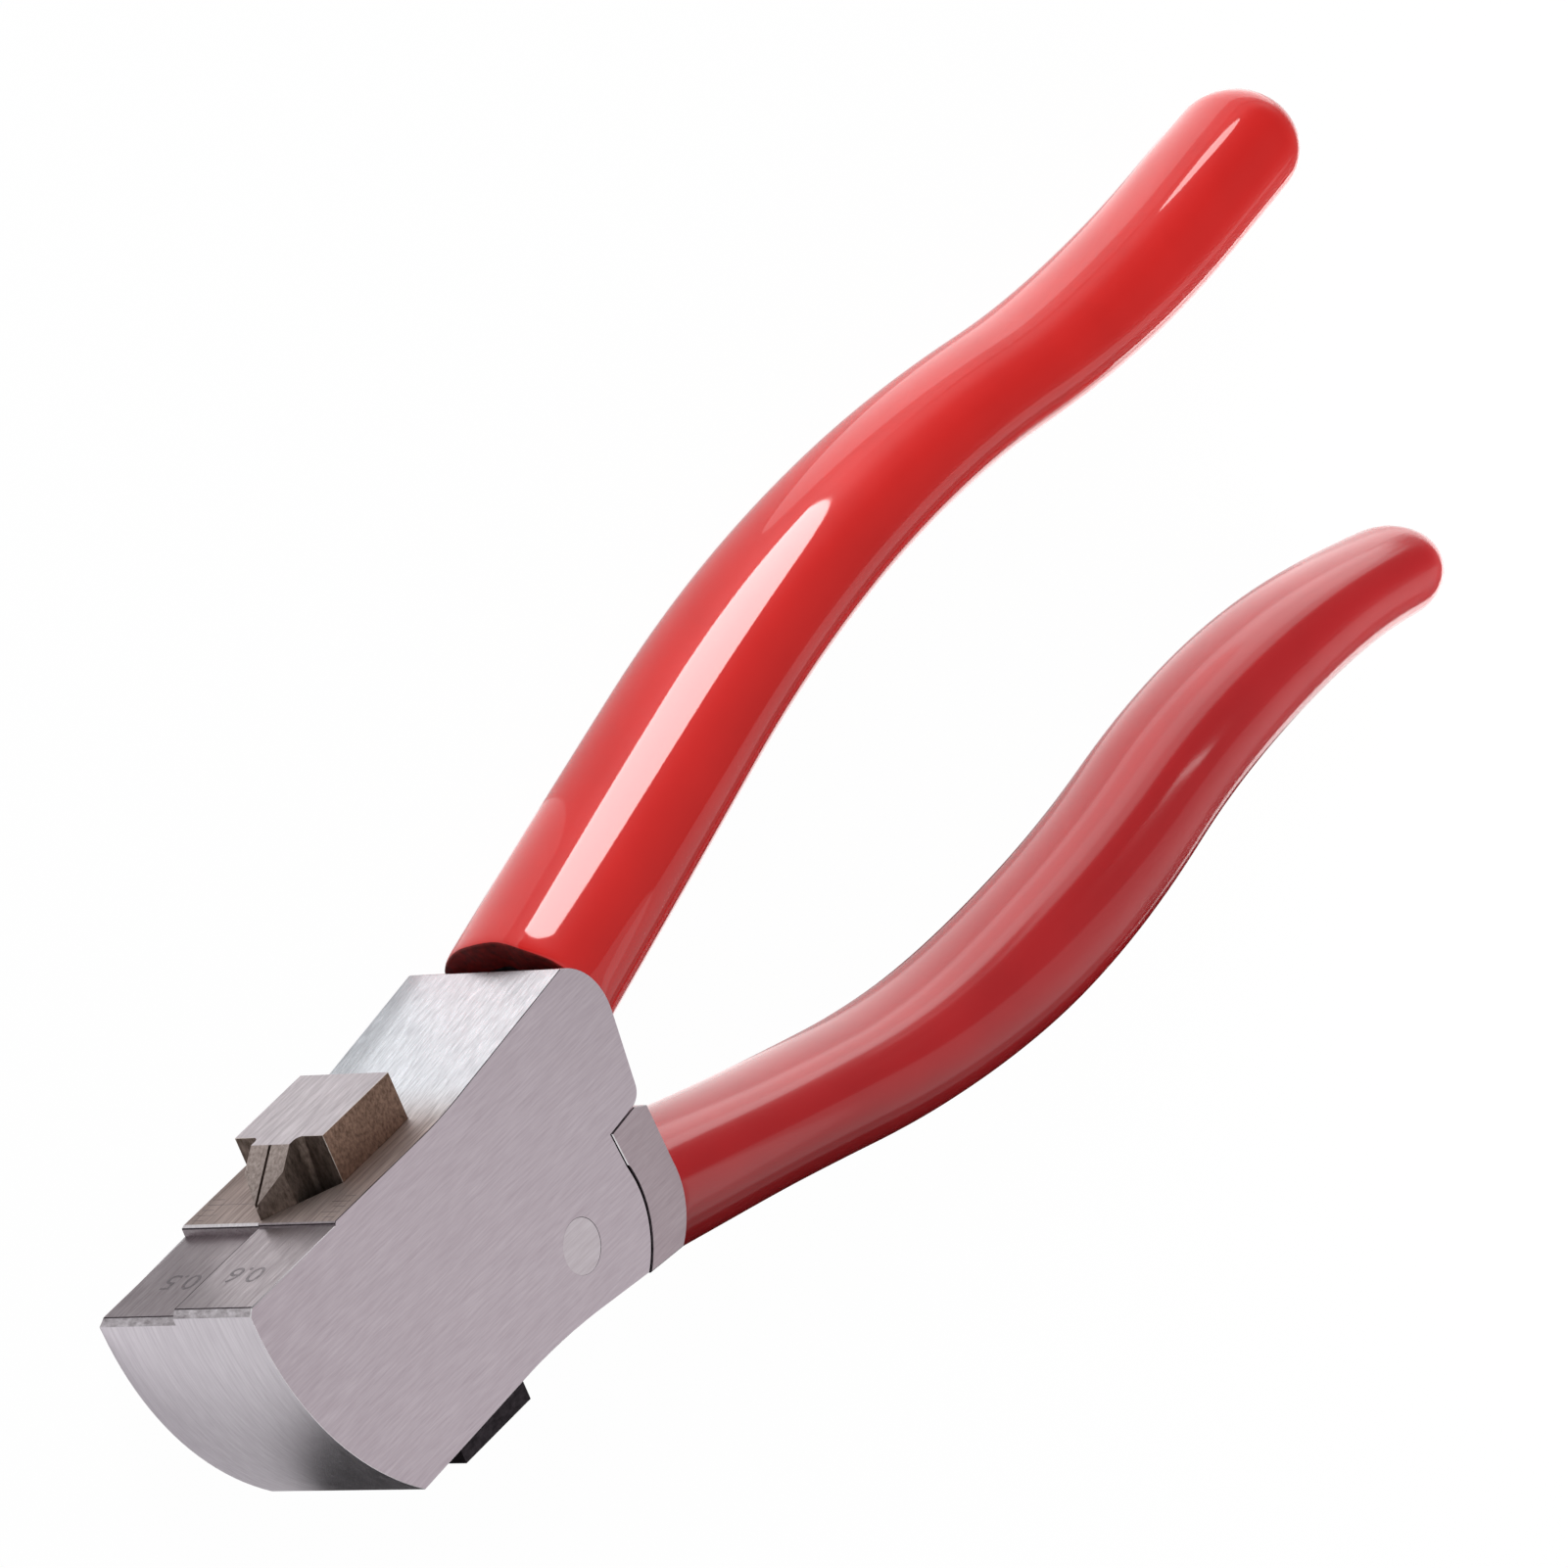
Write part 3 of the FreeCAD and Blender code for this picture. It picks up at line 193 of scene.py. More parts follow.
# The same steel linished along the ramp and coloured lighter than the face as a painted highlight, rubbed
# rough round the die by keys and chips, and darkened there as painted shade where the cutter bar shades it.
RAMP_STEEL = streaked_steel("linished_ramp_steel_painted_sheen_and_shade", "#f6faff", "#c4c6cb", 0.30, (6, 0.32, 0.3),
                            shaded_dull_die=True)
# The nose is ground round its curve, so its streaks run up and down.
NOSE_STEEL = streaked_steel("ground_tool_steel_nose", "#fbf5fb", "#e4dde4", 0.42, (1.5, 8, 0.3))
# The landing is milled flat and handled, so it is duller than the ramp.
LANDING_STEEL = streaked_steel("milled_tool_steel_landing", "#bbb2b6", "#958b8f", 0.32, (4, 0.3, 0.35))
# Narrow edges broken by hand: bare and bright.
EDGE_STEEL = streaked_steel("polished_edge_steel", "#fffcff", "#e6e0e4", 0.22, (3, 0.4, 0.4), stain=0.1)
# Painted shade: dark lines along seams, steps and edges, where a gap or ledge shades the steel.
SEAM_SHADE_STEEL = streaked_steel("painted_seam_shade_steel", "#5a5257", "#332c30", 0.45, (2, 0.4, 0.4))
# Top edge of the nose, nicked by the keys laid against it: bright and dark patches in turn.
NICKED_STEEL = streaked_steel("nicked_edge_steel", "#f0eaef", "#a0989c", 0.40, (0.9, 0.5, 1.1), relief=0.8)
# Marks burnt in by a laser, dull and grey.
ETCHED_STEEL = streaked_steel("laser_marked_steel", "#979094", "#7b7478", 0.44, (0.4, 0.4, 0.4))
# Bores and cavities as milled.
INNER_STEEL = streaked_steel("milled_steel_inside", "#8f888c", "#6b6468", 0.45, (1.5, 0.5, 0.5))
# Hardened bar, wire-cut: dark brown scale with a fine mottle along the wire's way.
WIRE_CUT_STEEL = streaked_steel("wire_cut_hardened_steel", "#b49381", "#71594c", 0.50, (0.35, 0.5, 0.35),
                                relief=0.6)
# Tooth flanks keep a darker scale.
TOOTH_FLANK_STEEL = streaked_steel("scaled_tooth_steel", "#9a8a82", "#54483f", 0.52, (0.4, 1.0, 0.4))
# Top of the bar, ground after hardening.
BAR_TOP_STEEL = streaked_steel("ground_hardened_steel", "#cfc7cb", "#a8a0a4", 0.36, (4, 0.35, 0.35))
# Slope of the tooth, ground on a coarse wheel: grainy and slightly brown.
TOOTH_SLOPE_STEEL = streaked_steel("coarse_ground_tooth_steel", "#b8aba5", "#81746f", 0.40,
                                   (0.5, 0.35, 0.35), relief=0.6)
# Broken edges of the bar, worn to a dull shine and coloured lighter than the bar as a painted highlight.
BAR_EDGE_STEEL = streaked_steel("worn_bar_edge_steel_painted_highlight", "#f4ece6", "#b9ada4", 0.32, (1.5, 0.6, 0.6))
# Foot of the bar, painted nearly black as shade where it stands under the head.
FOOT_STEEL = streaked_steel("bar_foot_painted_shade_steel", "#4a4348", "#2c272b", 0.48, (0.8, 0.6, 0.8))
# Pins turned and polished.
PIN_STEEL = streaked_steel("turned_pin_steel", "#f3e9ef", "#e2d6dc", 0.38, (4, 0.3, 0.3), stain=0.1)
# Handle bars as forged: dark grey scale, slightly pitted.
FORGED_STEEL = streaked_steel("forged_bar_steel", "#6f6a6c", "#3f3a3c", 0.55, (1.2, 0.9, 0.9), relief=0.8)
# Screws blackened in hot oxide.
BLACK_STEEL = streaked_steel("black_oxide_steel", "#3a393b", "#1c1b1d", 0.38, (0.6, 0.6, 0.6))
# Sintered bearing bronze with fine turning marks.
BRONZE = streaked_steel("turned_bearing_bronze", "#c79a55", "#94703a", 0.38, (0.5, 0.5, 0.25))


# Sizes of the patterns in the vinyl, and depths of its waves and of the tears at a cut.
VINYL_CLOUDS = 14.0
VINYL_WAVES = 6.0
VINYL_SPECKS = 0.6
SPECK_SHARE = 0.06
WAVE_DEPTH = 0.06
TEAR_SIZE = 0.8
TEAR_DEPTH = 0.1
VINYL_IOR = 1.5
CUT_LIGHT = "#74130f"
CUT_DARK = "#470b0a"


def vinyl_noise(tree, place, size, detail):
    """Noise with marks of one size in millimetres."""
    return add_node(tree, "ShaderNodeTexNoise",
                    {"Vector": place, "Scale": per_mm(size)[0], "Detail": detail}).outputs["Fac"]


def dipped_vinyl(name, light, dark, skin_roughness):
    """Soft PVC dipped on hot: deep even red under a thick glossy skin with slow waves in it."""
    material, tree, place = new_material(name)
    clouds = vinyl_noise(tree, place, VINYL_CLOUDS, 3.0)
    waves = vinyl_noise(tree, place, VINYL_WAVES, 1.0)
    specks = vinyl_noise(tree, place, VINYL_SPECKS, 2.0)
    colour = blend_colours(tree, spread(tree, clouds, 0.0, 1.0), linear(dark), linear(light))
    height = add_node(tree, "ShaderNodeMath", {0: specks, 1: SPECK_SHARE, 2: waves}, operation="MULTIPLY_ADD")
    bump = add_node(tree, "ShaderNodeBump",
                    {"Height": height.outputs[0], "Strength": 0.25, "Distance": WAVE_DEPTH * MM})
    shader = add_node(tree, "ShaderNodeBsdfPrincipled",
                      {"Base Color": colour, "Roughness": 0.5, "IOR": VINYL_IOR, "Specular IOR Level": 0.1,
                       "Coat Weight": 1.0, "Coat Roughness": skin_roughness, "Coat IOR": VINYL_IOR,
                       "Normal": bump.outputs["Normal"]})
    finish_material(tree, shader)
    return material


def trimmed_vinyl():
    """Mouth of a sleeve, trimmed with a knife: dull red without the glossy skin, slightly torn, and coloured
    dark as painted shade in the mouth and its bore.
    """
    material, tree, place = new_material("knife_cut_vinyl_painted_shade")
    tears = vinyl_noise(tree, place, TEAR_SIZE, 3.0)
    colour = blend_colours(tree, spread(tree, tears, 0.0, 1.0), linear(CUT_DARK), linear(CUT_LIGHT))
    bump = add_node(tree, "ShaderNodeBump",
                    {"Height": tears, "Strength": 0.5, "Distance": TEAR_DEPTH * MM})
    shader = add_node(tree, "ShaderNodeBsdfPrincipled",
                      {"Base Color": colour, "Roughness": 0.6, "IOR": VINYL_IOR, "Specular IOR Level": 0.2,
                       "Normal": bump.outputs["Normal"]})
    finish_material(tree, shader)
    return material


UPPER_VINYL = dipped_vinyl("dipped_red_vinyl", "#d41b17", "#cb1713", 0.05)
# The lever's sleeve is coloured a deeper red as painted shade, as it lies farther from the light and in the
# upper handle's shade, and its skin is duller.
LOWER_VINYL = dipped_vinyl("dipped_red_vinyl_painted_shade", "#b0161c", "#a61218", 0.14)
CUT_VINYL = trimmed_vinyl()


# Mesh helpers

def copy_of(node):
    """A merged copy of a CAD node's mesh, with its flat faces made whole."""
    bm = bmesh.new()
    bm.from_mesh(frame["nodes"][node].data)
    bmesh.ops.remove_doubles(bm, verts=bm.verts, dist=MERGE)
    bmesh.ops.dissolve_limit(bm, angle_limit=FLAT, verts=bm.verts, edges=bm.edges)
    return bm


def break_edges(bm, edges, width, segments=1):
    """Chamfers edges and gives the new faces."""
    made = bmesh.ops.bevel(bm, geom=edges, offset=width * MM, offset_type="OFFSET", affect="EDGES",
                           segments=segments, profile=0.5, material=-1, clamp_overlap=True)
    return made["faces"]


def make_piece(bm, name, body, materials, nodes=(), sharp=SHARP):
    """Turns a bmesh into a finished piece on its body."""
    mesh = bpy.data.meshes.new(name)
    for face in bm.faces:
        face.smooth = True
    bm.to_mesh(mesh)
    bm.free()
    mesh.set_sharp_from_angle(angle=sharp)
    for material in materials:
        mesh.materials.append(material)
    piece = bpy.data.objects.new(name, mesh)
    bpy.context.scene.collection.objects.link(piece)
    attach(piece, body)
    if nodes:
        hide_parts(*nodes)
    return piece


def at_height(edge, height):
    return all(abs(vert.co.z - height * MM) < TOUCH for vert in edge.verts)


def is_corner(edge):
    return len(edge.link_faces) == 2 and edge.calc_face_angle() > CORNER


# Head halves

HEAD_FINISHES = [FACE_STEEL, RAMP_STEEL, NOSE_STEEL, LANDING_STEEL, EDGE_STEEL, SEAM_SHADE_STEEL, INNER_STEEL,
                 NICKED_STEEL]
ON_FACE, ON_RAMP, ON_NOSE, ON_LANDING, ON_EDGE, ON_SEAM_SHADE, ON_INSIDE, ON_NICKS = range(len(HEAD_FINISHES))
NOSE_EDGE = 0.7
DARK_LINE = 0.09
STEP_EDGE = 0.3
PARTING_LINE = 0.12
WAIST_FROM_NOSE = 38.7
WAIST_DEPTH = 28.6
WAIST_ROUNDING = 6.0
WAIST_FACETS = 6
PIVOT_RADIUS = 3.0
SEAM_RADIUS = 11.2
REAR_TOP = 59.4
NOSE_FACING = 0.5
# Distances from the nose within which the edges of its top lie, before and after they are broken.
NOSE_EDGE_REACH = 0.2
BROKEN_EDGE_REACH = 2.0
# Limits that tell the stretches of a flat face's rim apart, measured from the pivot.
RIM_SLACK = 0.1
SEAM_SLACK = 0.2
HOLE_REACH = SEAM_RADIUS - 2
SEAM_START = 8.5
SEAM_END = 15
SEAM_TOP = 7.7
SEAM_SHELF = 6.5
HOLES_FRONT = -44
HOLES_BACK = 12
HOLES_LOW = 9.2
# Rims of the flat faces: place, width of the broken edge and its finish. The top and the seams get dark lines
# of painted shade.
HEAD_RIMS = [("landing", 0.4, ON_EDGE), ("top", 0.27, ON_SEAM_SHADE), ("outline", 0.25, ON_EDGE),
             ("seam", 0.12, ON_SEAM_SHADE)]
LEVER_RIMS = [("outline", 0.2, ON_EDGE), ("seam", 0.12, ON_SEAM_SHADE)]


def break_rims(bm, height, place_of, rims):
    """Breaks the rims of a flat face, stretch by stretch."""
    for chosen, width, finish in rims:
        edges = [edge for edge in bm.edges
                 if is_corner(edge) and at_height(edge, height) and place_of(edge) == chosen]
        for face in break_edges(bm, edges, width):
            face.material_index = finish


def on_line(place, x=None, y=None, z=None):
    """Whether a place has the given coordinates, in metres."""
    wanted = zip(place, (x, y, z))
    return all(value is None or abs(have - value) < TOUCH for have, value in wanted)


def break_line(bm, is_on_line, width, finish, segments=1):
    """Breaks the edges that lie wholly on a line and gives them a finish."""
    edges = [edge for edge in bm.edges
             if len(edge.link_faces) == 2 and edge.calc_face_angle() > FLAT
             and all(is_on_line(vert.co) for vert in edge.verts)]
    for face in break_edges(bm, edges, width, segments):
        face.material_index = finish


def rim_place(edge):
    """Which stretch of the head's outline an edge of a flat face belongs to."""
    middle = (edge.verts[0].co + edge.verts[1].co) / 2 / MM
    reach = middle.xy.length
    if reach < PIVOT_RADIUS + RIM_SLACK:
        return "pivot"
    if reach < HOLE_REACH:
        return "hole"
    if middle.x > SEAM_START and middle.y < SEAM_TOP:
        return "seam" if reach < SEAM_RADIUS + SEAM_SLACK or middle.y > SEAM_SHELF else "outline"
    if middle.x < STEP_FROM_NOSE - NOSE_TO_PIVOT and middle.y > DIE_FACE - BACK_LANDING_DROP - RIM_SLACK:
        return "landing"
    if middle.y > DIE_FACE - RIM_SLACK and middle.x < REAR_TOP - NOSE_TO_PIVOT:
        return "top"
    return "hole" if middle.y >= HOLES_LOW and HOLES_FRONT <= middle.x <= HOLES_BACK else "outline"


def mark_parting(bm, landing_top):
    """Leaves a dark line of painted shade on the landing where the two halves meet, at the step between them.
    """
    edge_of_line = PARTING + PARTING_LINE
    landing = [face for face in bm.faces
               if face.normal.y > FACING and abs(face.calc_center_median().y - landing_top) < TOUCH]
    parts = {item for face in landing for item in (face, *face.edges, *face.verts)}
    bmesh.ops.bisect_plane(bm, geom=list(parts), plane_co=(0, 0, edge_of_line * MM), plane_no=(0, 0, 1))
    for face in bm.faces:
        middle = face.calc_center_median()
        if abs(middle.y - landing_top) < TOUCH and 0 < middle.z - PARTING * MM < PARTING_LINE * MM:
            face.material_index = ON_SEAM_SHADE


def head_half(name, node, outer, landing_drop, step_finish):
    """One half of the head: outer is the height of its ground face."""
    bm = copy_of(node)
    step_x = from_nose(STEP_FROM_NOSE)
    landing_end = step_x - TOUCH
    low, high = sorted((outer, PARTING))
    for face in bm.faces:
        heights = [vert.co.z for vert in face.verts]
        middle = face.calc_center_median()
        through = min(heights) < low * MM + TOUCH and max(heights) > high * MM - TOUCH
        on_top = face.normal.y > FACING and middle.y > (DIE_FACE - BACK_LANDING_DROP) * MM - TOUCH
        if abs(face.normal.z) > FACING:
            on_face = abs(middle.z - outer * MM) < TOUCH
            face.material_index = ON_FACE if on_face else ON_INSIDE
        elif not (through or on_top):
            face.material_index = ON_INSIDE
        elif face.normal.y > FACING:
            face.material_index = ON_LANDING if middle.x < landing_end else ON_RAMP
        elif face.normal.x < -NOSE_FACING and middle.x < landing_end:
            face.material_index = ON_NOSE
        elif face.normal.x < -FACING and middle.y > DIE_FACE * MM - BACK_LANDING_DROP * MM:
            face.material_index = ON_LANDING
        else:
            face.material_index = ON_FACE
    landing_top = (DIE_FACE - landing_drop) * MM
    nose_edge_end = from_nose(NOSE_EDGE_REACH)
    broken_edge_end = from_nose(BROKEN_EDGE_REACH)
    break_line(bm, lambda co: on_line(co, y=landing_top) and co.x < nose_edge_end, NOSE_EDGE, ON_NICKS)
    # A dark line of painted shade beside the nose's broken top edge.
    break_line(bm, lambda co: on_line(co, y=landing_top) and co.x < broken_edge_end, DARK_LINE, ON_SEAM_SHADE)
    step_edge = min(STEP_EDGE, landing_drop / 2)
    step_top = DIE_FACE * MM
    break_line(bm, lambda co: on_line(co, x=step_x, y=step_top), step_edge, step_finish)
    # A dark line of painted shade below the step's broken edge.
    break_line(bm, lambda co: on_line(co, x=step_x, y=step_top - step_edge * MM), DARK_LINE, ON_SEAM_SHADE)
    mark_parting(bm, landing_top)
    waist_x = from_nose(WAIST_FROM_NOSE)
    waist_y = (DIE_FACE - WAIST_DEPTH) * MM
    break_line(bm, lambda co: on_line(co, x=waist_x, y=waist_y), WAIST_ROUNDING, ON_FACE, WAIST_FACETS)
    break_rims(bm, outer, rim_place, HEAD_RIMS)
    return make_piece(bm, name, "head", HEAD_FINISHES, [node])


front_half = head_half("front_head_half", "front_body_half", HEAD_THICKNESS, FRONT_LANDING_DROP, ON_LANDING)
back_half = head_half("back_head_half", "back_body_half", 0.0, BACK_LANDING_DROP, ON_EDGE)


# Lever root

SEAM_FACING = 0.3


def lever_rim_place(edge):
    """Whether an edge of the lever's flat faces lies along the head."""
    middle = (edge.verts[0].co + edge.verts[1].co) / 2 / MM
    on_shelf = middle.y > SEAM_SHELF and middle.x < SEAM_END
    return "seam" if on_shelf or middle.xy.length < SEAM_RADIUS + SEAM_SLACK else "outline"


def lever_root():
    """Ground root of the lever, with painted shade where it meets the head."""
    bm = copy_of("lever_block")
    for face in bm.faces:
        face.material_index = ON_SEAM_SHADE if face.normal.x < -SEAM_FACING else ON_FACE
    for height in (HEAD_THICKNESS, 0.0):
        break_rims(bm, height, lever_rim_place, LEVER_RIMS)
    finishes = [LEVER_STEEL] + HEAD_FINISHES[1:]
    return make_piece(bm, "lever_root", "lever", finishes, ["lever_block"])


root = lever_root()


# Cutter bar

BAR_FINISHES = [WIRE_CUT_STEEL, BAR_TOP_STEEL, TOOTH_SLOPE_STEEL, TOOTH_FLANK_STEEL, BAR_EDGE_STEEL,
                FOOT_STEEL]
ON_SIDE, ON_TOP, ON_SLOPE, ON_FLANK, ON_BAR_EDGE, ON_FOOT = range(len(BAR_FINISHES))
FOOT_LINE = -9.0
TOOTH_HALF_WIDTH = 2.6
TOOTH_ROOT = 0.8
TOOTH_ROOT_FACETS = 5
BAR_EDGE = 0.2
TOP_FACING = 0.95
SLOPE_FACING = 0.3


def toothed_bar():
    """Cutter bar with its tooth, worn edges lightened as a painted highlight, and a foot painted black as
    shade.
    """
    bm = copy_of("cutter_bar")
    bar_front = from_nose(BAR_FRONT)
    for face in bm.faces:
        middle = face.calc_center_median()
        normal = face.normal
        if normal.y > TOP_FACING and middle.y > BAR_TOP * MM - TOUCH:
            face.material_index = ON_TOP
        elif normal.y > SLOPE_FACING and normal.x < -SLOPE_FACING:
            face.material_index = ON_SLOPE
        elif middle.x < bar_front + TOUCH:
            face.material_index = ON_FLANK
    # Below the foot line the bar is painted black as shade.
    bmesh.ops.bisect_plane(bm, geom=bm.verts[:] + bm.edges[:] + bm.faces[:], plane_co=(0, FOOT_LINE * MM, 0),
                           plane_no=(0, 1, 0))
    for face in bm.faces:
        if face.calc_center_median().y < FOOT_LINE * MM:
            face.material_index = ON_FOOT
    for side in (-1, 1):
        root_z = (PARTING + side * TOOTH_HALF_WIDTH) * MM
        break_line(bm, lambda co: on_line(co, x=bar_front, z=root_z), TOOTH_ROOT, ON_FLANK, TOOTH_ROOT_FACETS)
    # Broken edges of the bar, coloured lighter as a painted highlight.
    edges = [edge for edge in bm.edges
             if is_corner(edge) and edge.is_convex and all(v.co.x > bar_front - TOUCH for v in edge.verts)
             and any(v.co.y > DIE_FACE * MM for v in edge.verts)]
    for face in break_edges(bm, edges, BAR_EDGE):
        face.material_index = ON_BAR_EDGE
    return make_piece(bm, "toothed_cutter_bar", "cutter", BAR_FINISHES, ["cutter_bar"])


bar = toothed_bar()


# Pivot pin and landing marks

PIN_BLIND_WALL = 1.5
PIN_RADIUS = 2.96
PIN_SIDES = 96


def seated_pin():
    """Pivot pin, flush with the front face and seated against the nose side of its hole."""
    length = HEAD_THICKNESS - PIN_BLIND_WALL
    bm = bmesh.new()
    bmesh.ops.create_cone(bm, cap_ends=True, segments=PIN_SIDES, radius1=PIN_RADIUS * MM,
                          radius2=PIN_RADIUS * MM, depth=length * MM)
    middle = Vector((PIN_RADIUS - PIVOT_RADIUS, 0, PIN_BLIND_WALL + length / 2)) * MM
    bmesh.ops.translate(bm, verts=bm.verts, vec=middle)
    return make_piece(bm, "seated_pivot_pin", "head", [PIN_STEEL], ["pivot_pin"], ROUND_SHARP)


pin = seated_pin()

MARK_DEPTH = 0.02
NUMBER_SIZE = 3.9
# Plain numbers on the landings: name, text, distance from the nose, drop of the landing and height.
LANDING_NUMBERS = [("front_landing_number", "0.6", 7.0, FRONT_LANDING_DROP, 15.3),
                   ("back_landing_number", "0.5", 7.2, BACK_LANDING_DROP, 6.1)]
RULE_WIDTH = 0.06
RULE_SPACING = 1.0
RULE_MARGIN = 0.7
FRONT_RULES = (1.6, 2.6, 1.6, 2.6, 1.6)
BACK_RULES = (1.6, 2.6, 1.6, 7.0, 1.6)


def landing_number(name, text, along, landing_drop, height):
    """A plain number marked on the landing, with its top towards the nose."""
    curve = bpy.data.curves.new(name, "FONT")
    curve.body = text
    curve.size = NUMBER_SIZE * MM
    curve.align_x = "CENTER"
    curve.align_y = "CENTER"
    curve.extrude = MARK_DEPTH * MM / 2
    writer = bpy.data.objects.new(name + "_curve", curve)
    bpy.context.scene.collection.objects.link(writer)
    shape = bpy.data.meshes.new_from_object(writer.evaluated_get(bpy.context.evaluated_depsgraph_get()))
    bpy.data.objects.remove(writer)
    bm = bmesh.new()
    bm.from_mesh(shape)
    place = Matrix.Identity(4)
    place.col[0] = (0, 0, -1, 0)
    place.col[1] = (-1, 0, 0, 0)
    place.col[2] = (0, 1, 0, 0)
    place.col[3] = (from_nose(along), (DIE_FACE - landing_drop) * MM, height * MM, 1)
    bmesh.ops.transform(bm, matrix=place, verts=bm.verts)
    bmesh.ops.remove_doubles(bm, verts=bm.verts, dist=MERGE)
    make_piece(bm, name, "head", [ETCHED_STEEL])


def ruled_lines():
    """Ruled marks across the die face near both edges."""
    bm = bmesh.new()
    for outer, inward, lengths in ((HEAD_THICKNESS, -1, FRONT_RULES), (0.0, 1, BACK_RULES)):
        for index, length in enumerate(lengths):
            middle = Vector((from_nose(STEP_FROM_NOSE + RULE_SPACING * (index + 1)), DIE_FACE * MM,
                             (outer + inward * (RULE_MARGIN + length / 2)) * MM))
            size = Matrix.Diagonal((RULE_WIDTH * MM, MARK_DEPTH * MM, length * MM, 1))
            bmesh.ops.create_cube(bm, size=1.0, matrix=Matrix.Translation(middle) @ size)
    make_piece(bm, "ruled_lines", "head", [ETCHED_STEEL])


for number in LANDING_NUMBERS:
    landing_number(*number)
ruled_lines()


# Handle sleeves

MOUTH_BORE = 4.5
BORE_DEPTH = 8.0
RING_STEP = 2.0
RING_SIDES = 64
END_LENGTH = 7.0
END_RINGS = 10
CUT_EDGE = 0.3
CUT_FACING = 0.65
# Rings at the mouth: distance from it, and share of the sleeve's full size.
MOUTH_RINGS = ((0.0, 0.96), (0.1, 0.98), (0.3, 0.993), (0.8, 1.0))
# Knife cut: how far from the mouth it bends the sleeve, its depth, and share, count and shift of its waves.
TRIM_REACH = 1.9
TRIM_WAVE = 0.3
TRIM_SWINGS = ((0.6, 3, 1), (0.4, 8, 0))
# Middle line of a handle: mouth, slope, straight run, and radius and turn of its two bends.
UPPER_LINE = ((17.65, 20.05), 14.8, 37.5, ((172, -22.3), (169, 13.2)))
LOWER_LINE = ((16.85, -5.05), -14.4, 39.4, ((140, 25.0), (125, -28.5)))
UPPER_LENGTH = 162.4
LOWER_LENGTH = 160.6
# Half height and half thickness at even steps from the mouth to the start of the round end.
UPPER_HEIGHTS = (8.5, 8.3, 7.75, 6.95, 6.4, 6.75, 6.85)
UPPER_THICKNESSES = (9.4, 9.1, 8.8, 8.5, 8.2, 7.95, 7.7)
LOWER_HEIGHTS = (7.4, 6.75, 7.0, 7.75, 7.4, 6.65, 5.4)
LOWER_THICKNESSES = (9.1, 8.9, 8.7, 8.5, 8.2, 8.0, 6.8)
# How far the top of the mouth reaches past its bottom, towards the head.
UPPER_OVERHANG = 1.6
LOWER_OVERHANG = 0.0


def smooth_value(values, share):
    """Value at a share of the way along evenly spaced values, on a smooth curve through them."""
    place = max(0.0, min(1.0, share)) * (len(values) - 1)
    index = min(int(place), len(values) - 2)
    part = place - index
    before = values[max(index - 1, 0)]
    first, second = values[index], values[index + 1]
    after = values[min(index + 2, len(values) - 1)]
    slope_first = (second - before) / 2
    slope_second = (after - first) / 2
    return ((2 * part ** 3 - 3 * part ** 2 + 1) * first + (part ** 3 - 2 * part ** 2 + part) * slope_first
            + (3 * part ** 2 - 2 * part ** 3) * second + (part ** 3 - part ** 2) * slope_second)


def along_handle(mouth, slope, straight, bends, distance):
    """Point and heading at a distance from the mouth: a straight run, two bends and the rest straight."""
    point = Vector(mouth)
    heading = math.radians(slope)
    run = min(distance, straight)
    point += Vector((math.cos(heading), math.sin(heading))) * run
    left = distance - run
    for radius, turn in bends:
        angle = min(left / radius, abs(math.radians(turn)))
        turned = math.copysign(angle, turn)
        chord = 2 * radius * math.sin(angle / 2)
        point += Vector((math.cos(heading + turned / 2), math.sin(heading + turned / 2))) * chord
        heading += turned
        left -= angle * radius
    point += Vector((math.cos(heading), math.sin(heading))) * left
    return point, heading


def ring_place(line, distance, half_height, half_thickness):
    """Places a unit circle across a handle's middle line."""
    point, heading = along_handle(*line, distance)
    forward = Vector((math.cos(heading), math.sin(heading), 0))
    upward = Vector((-math.sin(heading), math.cos(heading), 0))
    place = Matrix.Identity(4)
    place.col[0] = (*(upward * half_height * MM), 0)
    place.col[1] = (0, 0, half_thickness * MM, 0)
    place.col[2] = (*forward, 0)
    place.col[3] = (point.x * MM, point.y * MM, PARTING * MM, 1)
    return place


def trim_mouth(bm, line, half_height, overhang):
    """Leaves the mouth wavy, as a knife does, longer on top, and bare of the glossy skin, with the cut and
    the bore given the dark vinyl of painted shade.
    """
    # Across the mouth, x and y are in millimetres and z, along the handle, in metres.
    mouth = ring_place(line, 0.0, 1.0, 1.0)
    to_mouth = mouth.inverted()
    for face in bm.faces:
        across = to_mouth @ face.calc_center_median()
        in_bore = across.xy.length < MOUTH_BORE + CUT_EDGE and across.z < BORE_DEPTH * MM
        on_end = across.z < CUT_EDGE * MM and (to_mouth.to_3x3() @ face.normal).z < -CUT_FACING
        # The bore and the cut get the dark vinyl: painted shade.
        if in_bore or on_end:
            face.material_index = 1
    for vert in bm.verts:
        across = to_mouth @ vert.co
        fade = 1 - across.z / (TRIM_REACH * MM)
        if fade > 0:
            angle = math.atan2(across.y, across.x)
            swings = [share * math.sin(turns * angle + shift) for share, turns, shift in TRIM_SWINGS]
            wave = TRIM_WAVE * (1 + sum(swings))
            reach = overhang * (across.x / half_height + 1) / 2
            across.z += (wave - reach) * fade * MM
            vert.co = mouth @ across


